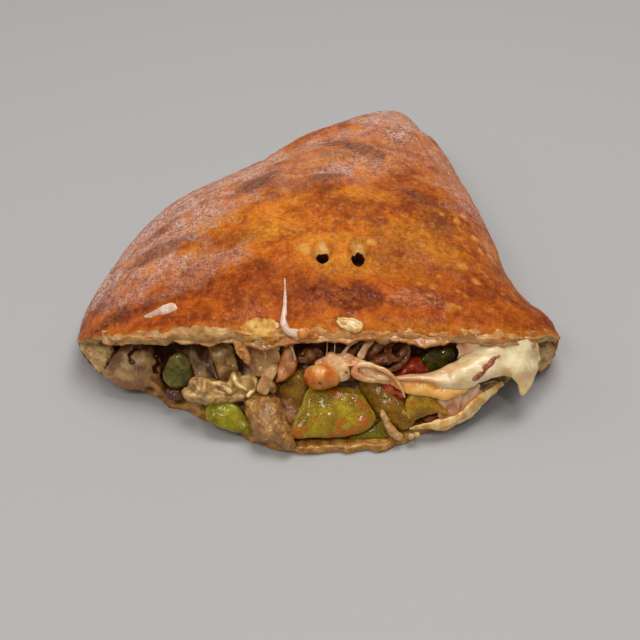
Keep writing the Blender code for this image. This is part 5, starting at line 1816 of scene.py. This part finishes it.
def torn_dough():
    """The torn crumb at both ends of the mouth, and crisp bits of the lip."""
    dents = ((3, 0.8, 1), (1.5, 0.3, 2))
    left = (
        (-113.5, -33.5), (-106, -31.5), (-99, -34), (-96, -38.5), (-98, -45.5), (-100.5, -50.5), (-106, -46),
        (-111, -40),
    )
    right = ((102.5, -35), (108, -32.8), (111.6, -37), (110.4, -43.5), (106.5, -48), (103, -48.6), (102, -42))
    piece(
        "crumb_at_tips", crumb_look(), "crust", None,
        panel(left, surface_out(-105, -40) + 4.0, 7, 1.0, 0, 0.5, 4, dents, 180, 80, 1),
        panel(right, surface_out(106, -41) + 3.0, 7, 1.0, 0, -0.5, 4, dents, 180, 80, 2),
    )
    torn = (
        (-39.5, -34.5), (-35, -33.8), (-33, -38.5), (-31.8, -43), (-32.7, -45), (-36, -42.5), (-38.5, -39)
    )
    tooth = ((65.5, -28.5), (68, -28), (70.5, -29.5), (69.5, -32), (68, -30.6))
    forked = ((70.5, -29), (73, -28), (75.8, -29), (75.6, -31.8), (74, -30.2), (72.6, -31.8))
    look = soft_look(
        "crisp_dough", (0.34, 0.09, 0.012), (0.54, 0.22, 0.045), (0.68, 0.38, 0.13), 2.5, (0.35, 0.6), 0.1
    )
    piece(
        "crisp_torn_bits", look, "crust", None,
        panel(torn, 104.5, 1.8, 0.6, lean=0.1, dents=((2, 0.6, 1), (1, 0.25, 2)), seed=3),
        panel(tooth, 109.0, 1.2, 0.4, dents=dents, seed=4),
        panel(forked, 108.5, 1.2, 0.4, dents=dents, seed=5),
    )


def bits_on_lip():
    """Melted lumps and a curled bit of onion on the upper lip."""
    table = (
        # across, up, out, size, turn
        (-6.5, -30.5, 111, (6.0, 5.5, 4.0), 20),
        (-2.5, -31.8, 110, (5.0, 4.5, 4.0), -20),
        (-9.5, -33.0, 109, (4.0, 3.0, 3.0), 0),
        (1.5, -33.2, 109, (4.0, 2.6, 3.0), 0),
    )
    lumps = []
    for seed, (across, up, out, size, turn) in enumerate(table, 6):
        lumps.append(lump(seen(across, up, out), size, turn, ((3, 0.8, 1), (1.5, 0.3, 2)), 4, seed))
    piece("melted_lumps_on_lip", ORANGE, "glazed", None, *lumps)
    bit = (
        (9.0, -23.6, 1.4, 0.9), (13.0, -23.8, 1.6, 0.9), (17.5, -24.8, 1.8, 0.9), (20.5, -26.8, 1.8, 0.9),
        (18.0, -29.4, 1.8, 0.9), (14.0, -28.4, 1.6, 0.9), (11.0, -27.0, 1.4, 0.9), (9.0, -24.4, 1.2, 0.9),
    )
    skin = ((9.5, -24), (15, -24), (20, -26.5), (17.6, -29.2), (12.5, -27.8))
    piece(
        "onion_bit_on_lip", EDGE, "onion", "onion_bit_lip",
        strand(laid(bit, 0.9), 16, dents=((2, 0.25, 1),)),
        panel(skin, surface_out(15, -26.5) + 0.6, 0.9, 0.3, lean=-0.5, dents=((2.4, 0.35, 1),), seed=10),
    )


pepper_pieces()
sausage_piece()
glazed_sausage()
ham_pieces()
tomato_pieces()
mushroom_pieces()
onion_mass()
onion_behind()
onion_deep()
onion_films()
cheese_at_lip()
cheese_loop()
cheese_pull()
cheese_films()
cheese_threads()
cheese_on_crust()
torn_dough()
bits_on_lip()


# ---------------------------------------------------------------- stage

# In metres. The floor lies just under the food, so that the two don't flicker.
FLOOR_REACH = 3.0
FLOOR_GAP = 0.0002


def stage():
    reach = FLOOR_REACH / MM
    corners = [(-reach, -reach, 0), (reach, -reach, 0), (reach, reach, 0), (-reach, reach, 0)]
    floor = new_object("floor", np.array(corners), [(0, 1, 2, 3)])
    floor.location.z = -FLOOR_GAP
    look = Look("floor_grey", Base_Color=(0.435, 0.437, 0.44, 1), Roughness=0.7)
    floor.data.materials.append(look.material)


def area_light(name, place, aim, size, power, colour):
    light = bpy.data.lights.new(name, "AREA")
    light.shape = "RECTANGLE"
    light.size, light.size_y = size
    light.energy = power
    light.color = colour
    obj = bpy.data.objects.new(name, light)
    obj.location = place
    obj.rotation_euler = (Vector(aim) - Vector(place)).to_track_quat("-Z", "Y").to_euler()
    bpy.context.scene.collection.objects.link(obj)


def light_and_camera():
    area_light("key", (0.22, 0.1, 1.2), (0, -0.02, 0.03), (0.7, 0.7), 8.8, (1.0, 0.98, 0.95))
    area_light("front", (-0.4, -0.66, 0.98), (0, -0.08, 0.03), (0.36, 0.26), 2.7, (1.0, 0.94, 0.86))
    area_light("glint", (0.22, -0.66, 0.95), (0, -0.09, 0.03), (0.08, 0.08), 1.1, (1.0, 0.97, 0.93))
    area_light("left", (-0.95, 0.15, 0.6), (0, 0, 0.03), (0.8, 0.8), 1.5, (0.97, 0.98, 1.0))
    world = bpy.data.worlds.new("studio")
    world.use_nodes = True
    world.node_tree.nodes["Background"].inputs["Color"].default_value = (1.0, 0.98, 0.96, 1)
    world.node_tree.nodes["Background"].inputs["Strength"].default_value = 0.3
    bpy.context.scene.world = world
    camera = bpy.data.cameras.new("camera")
    camera.lens = CAMERA_LENS
    obj = bpy.data.objects.new("camera", camera)
    obj.location = CAMERA_PLACE
    obj.rotation_euler = (math.radians(CAMERA_TILT), 0, 0)
    bpy.context.scene.collection.objects.link(obj)
    bpy.context.scene.camera = obj
    bpy.context.scene.view_settings.view_transform = "Standard"


stage()
light_and_camera()
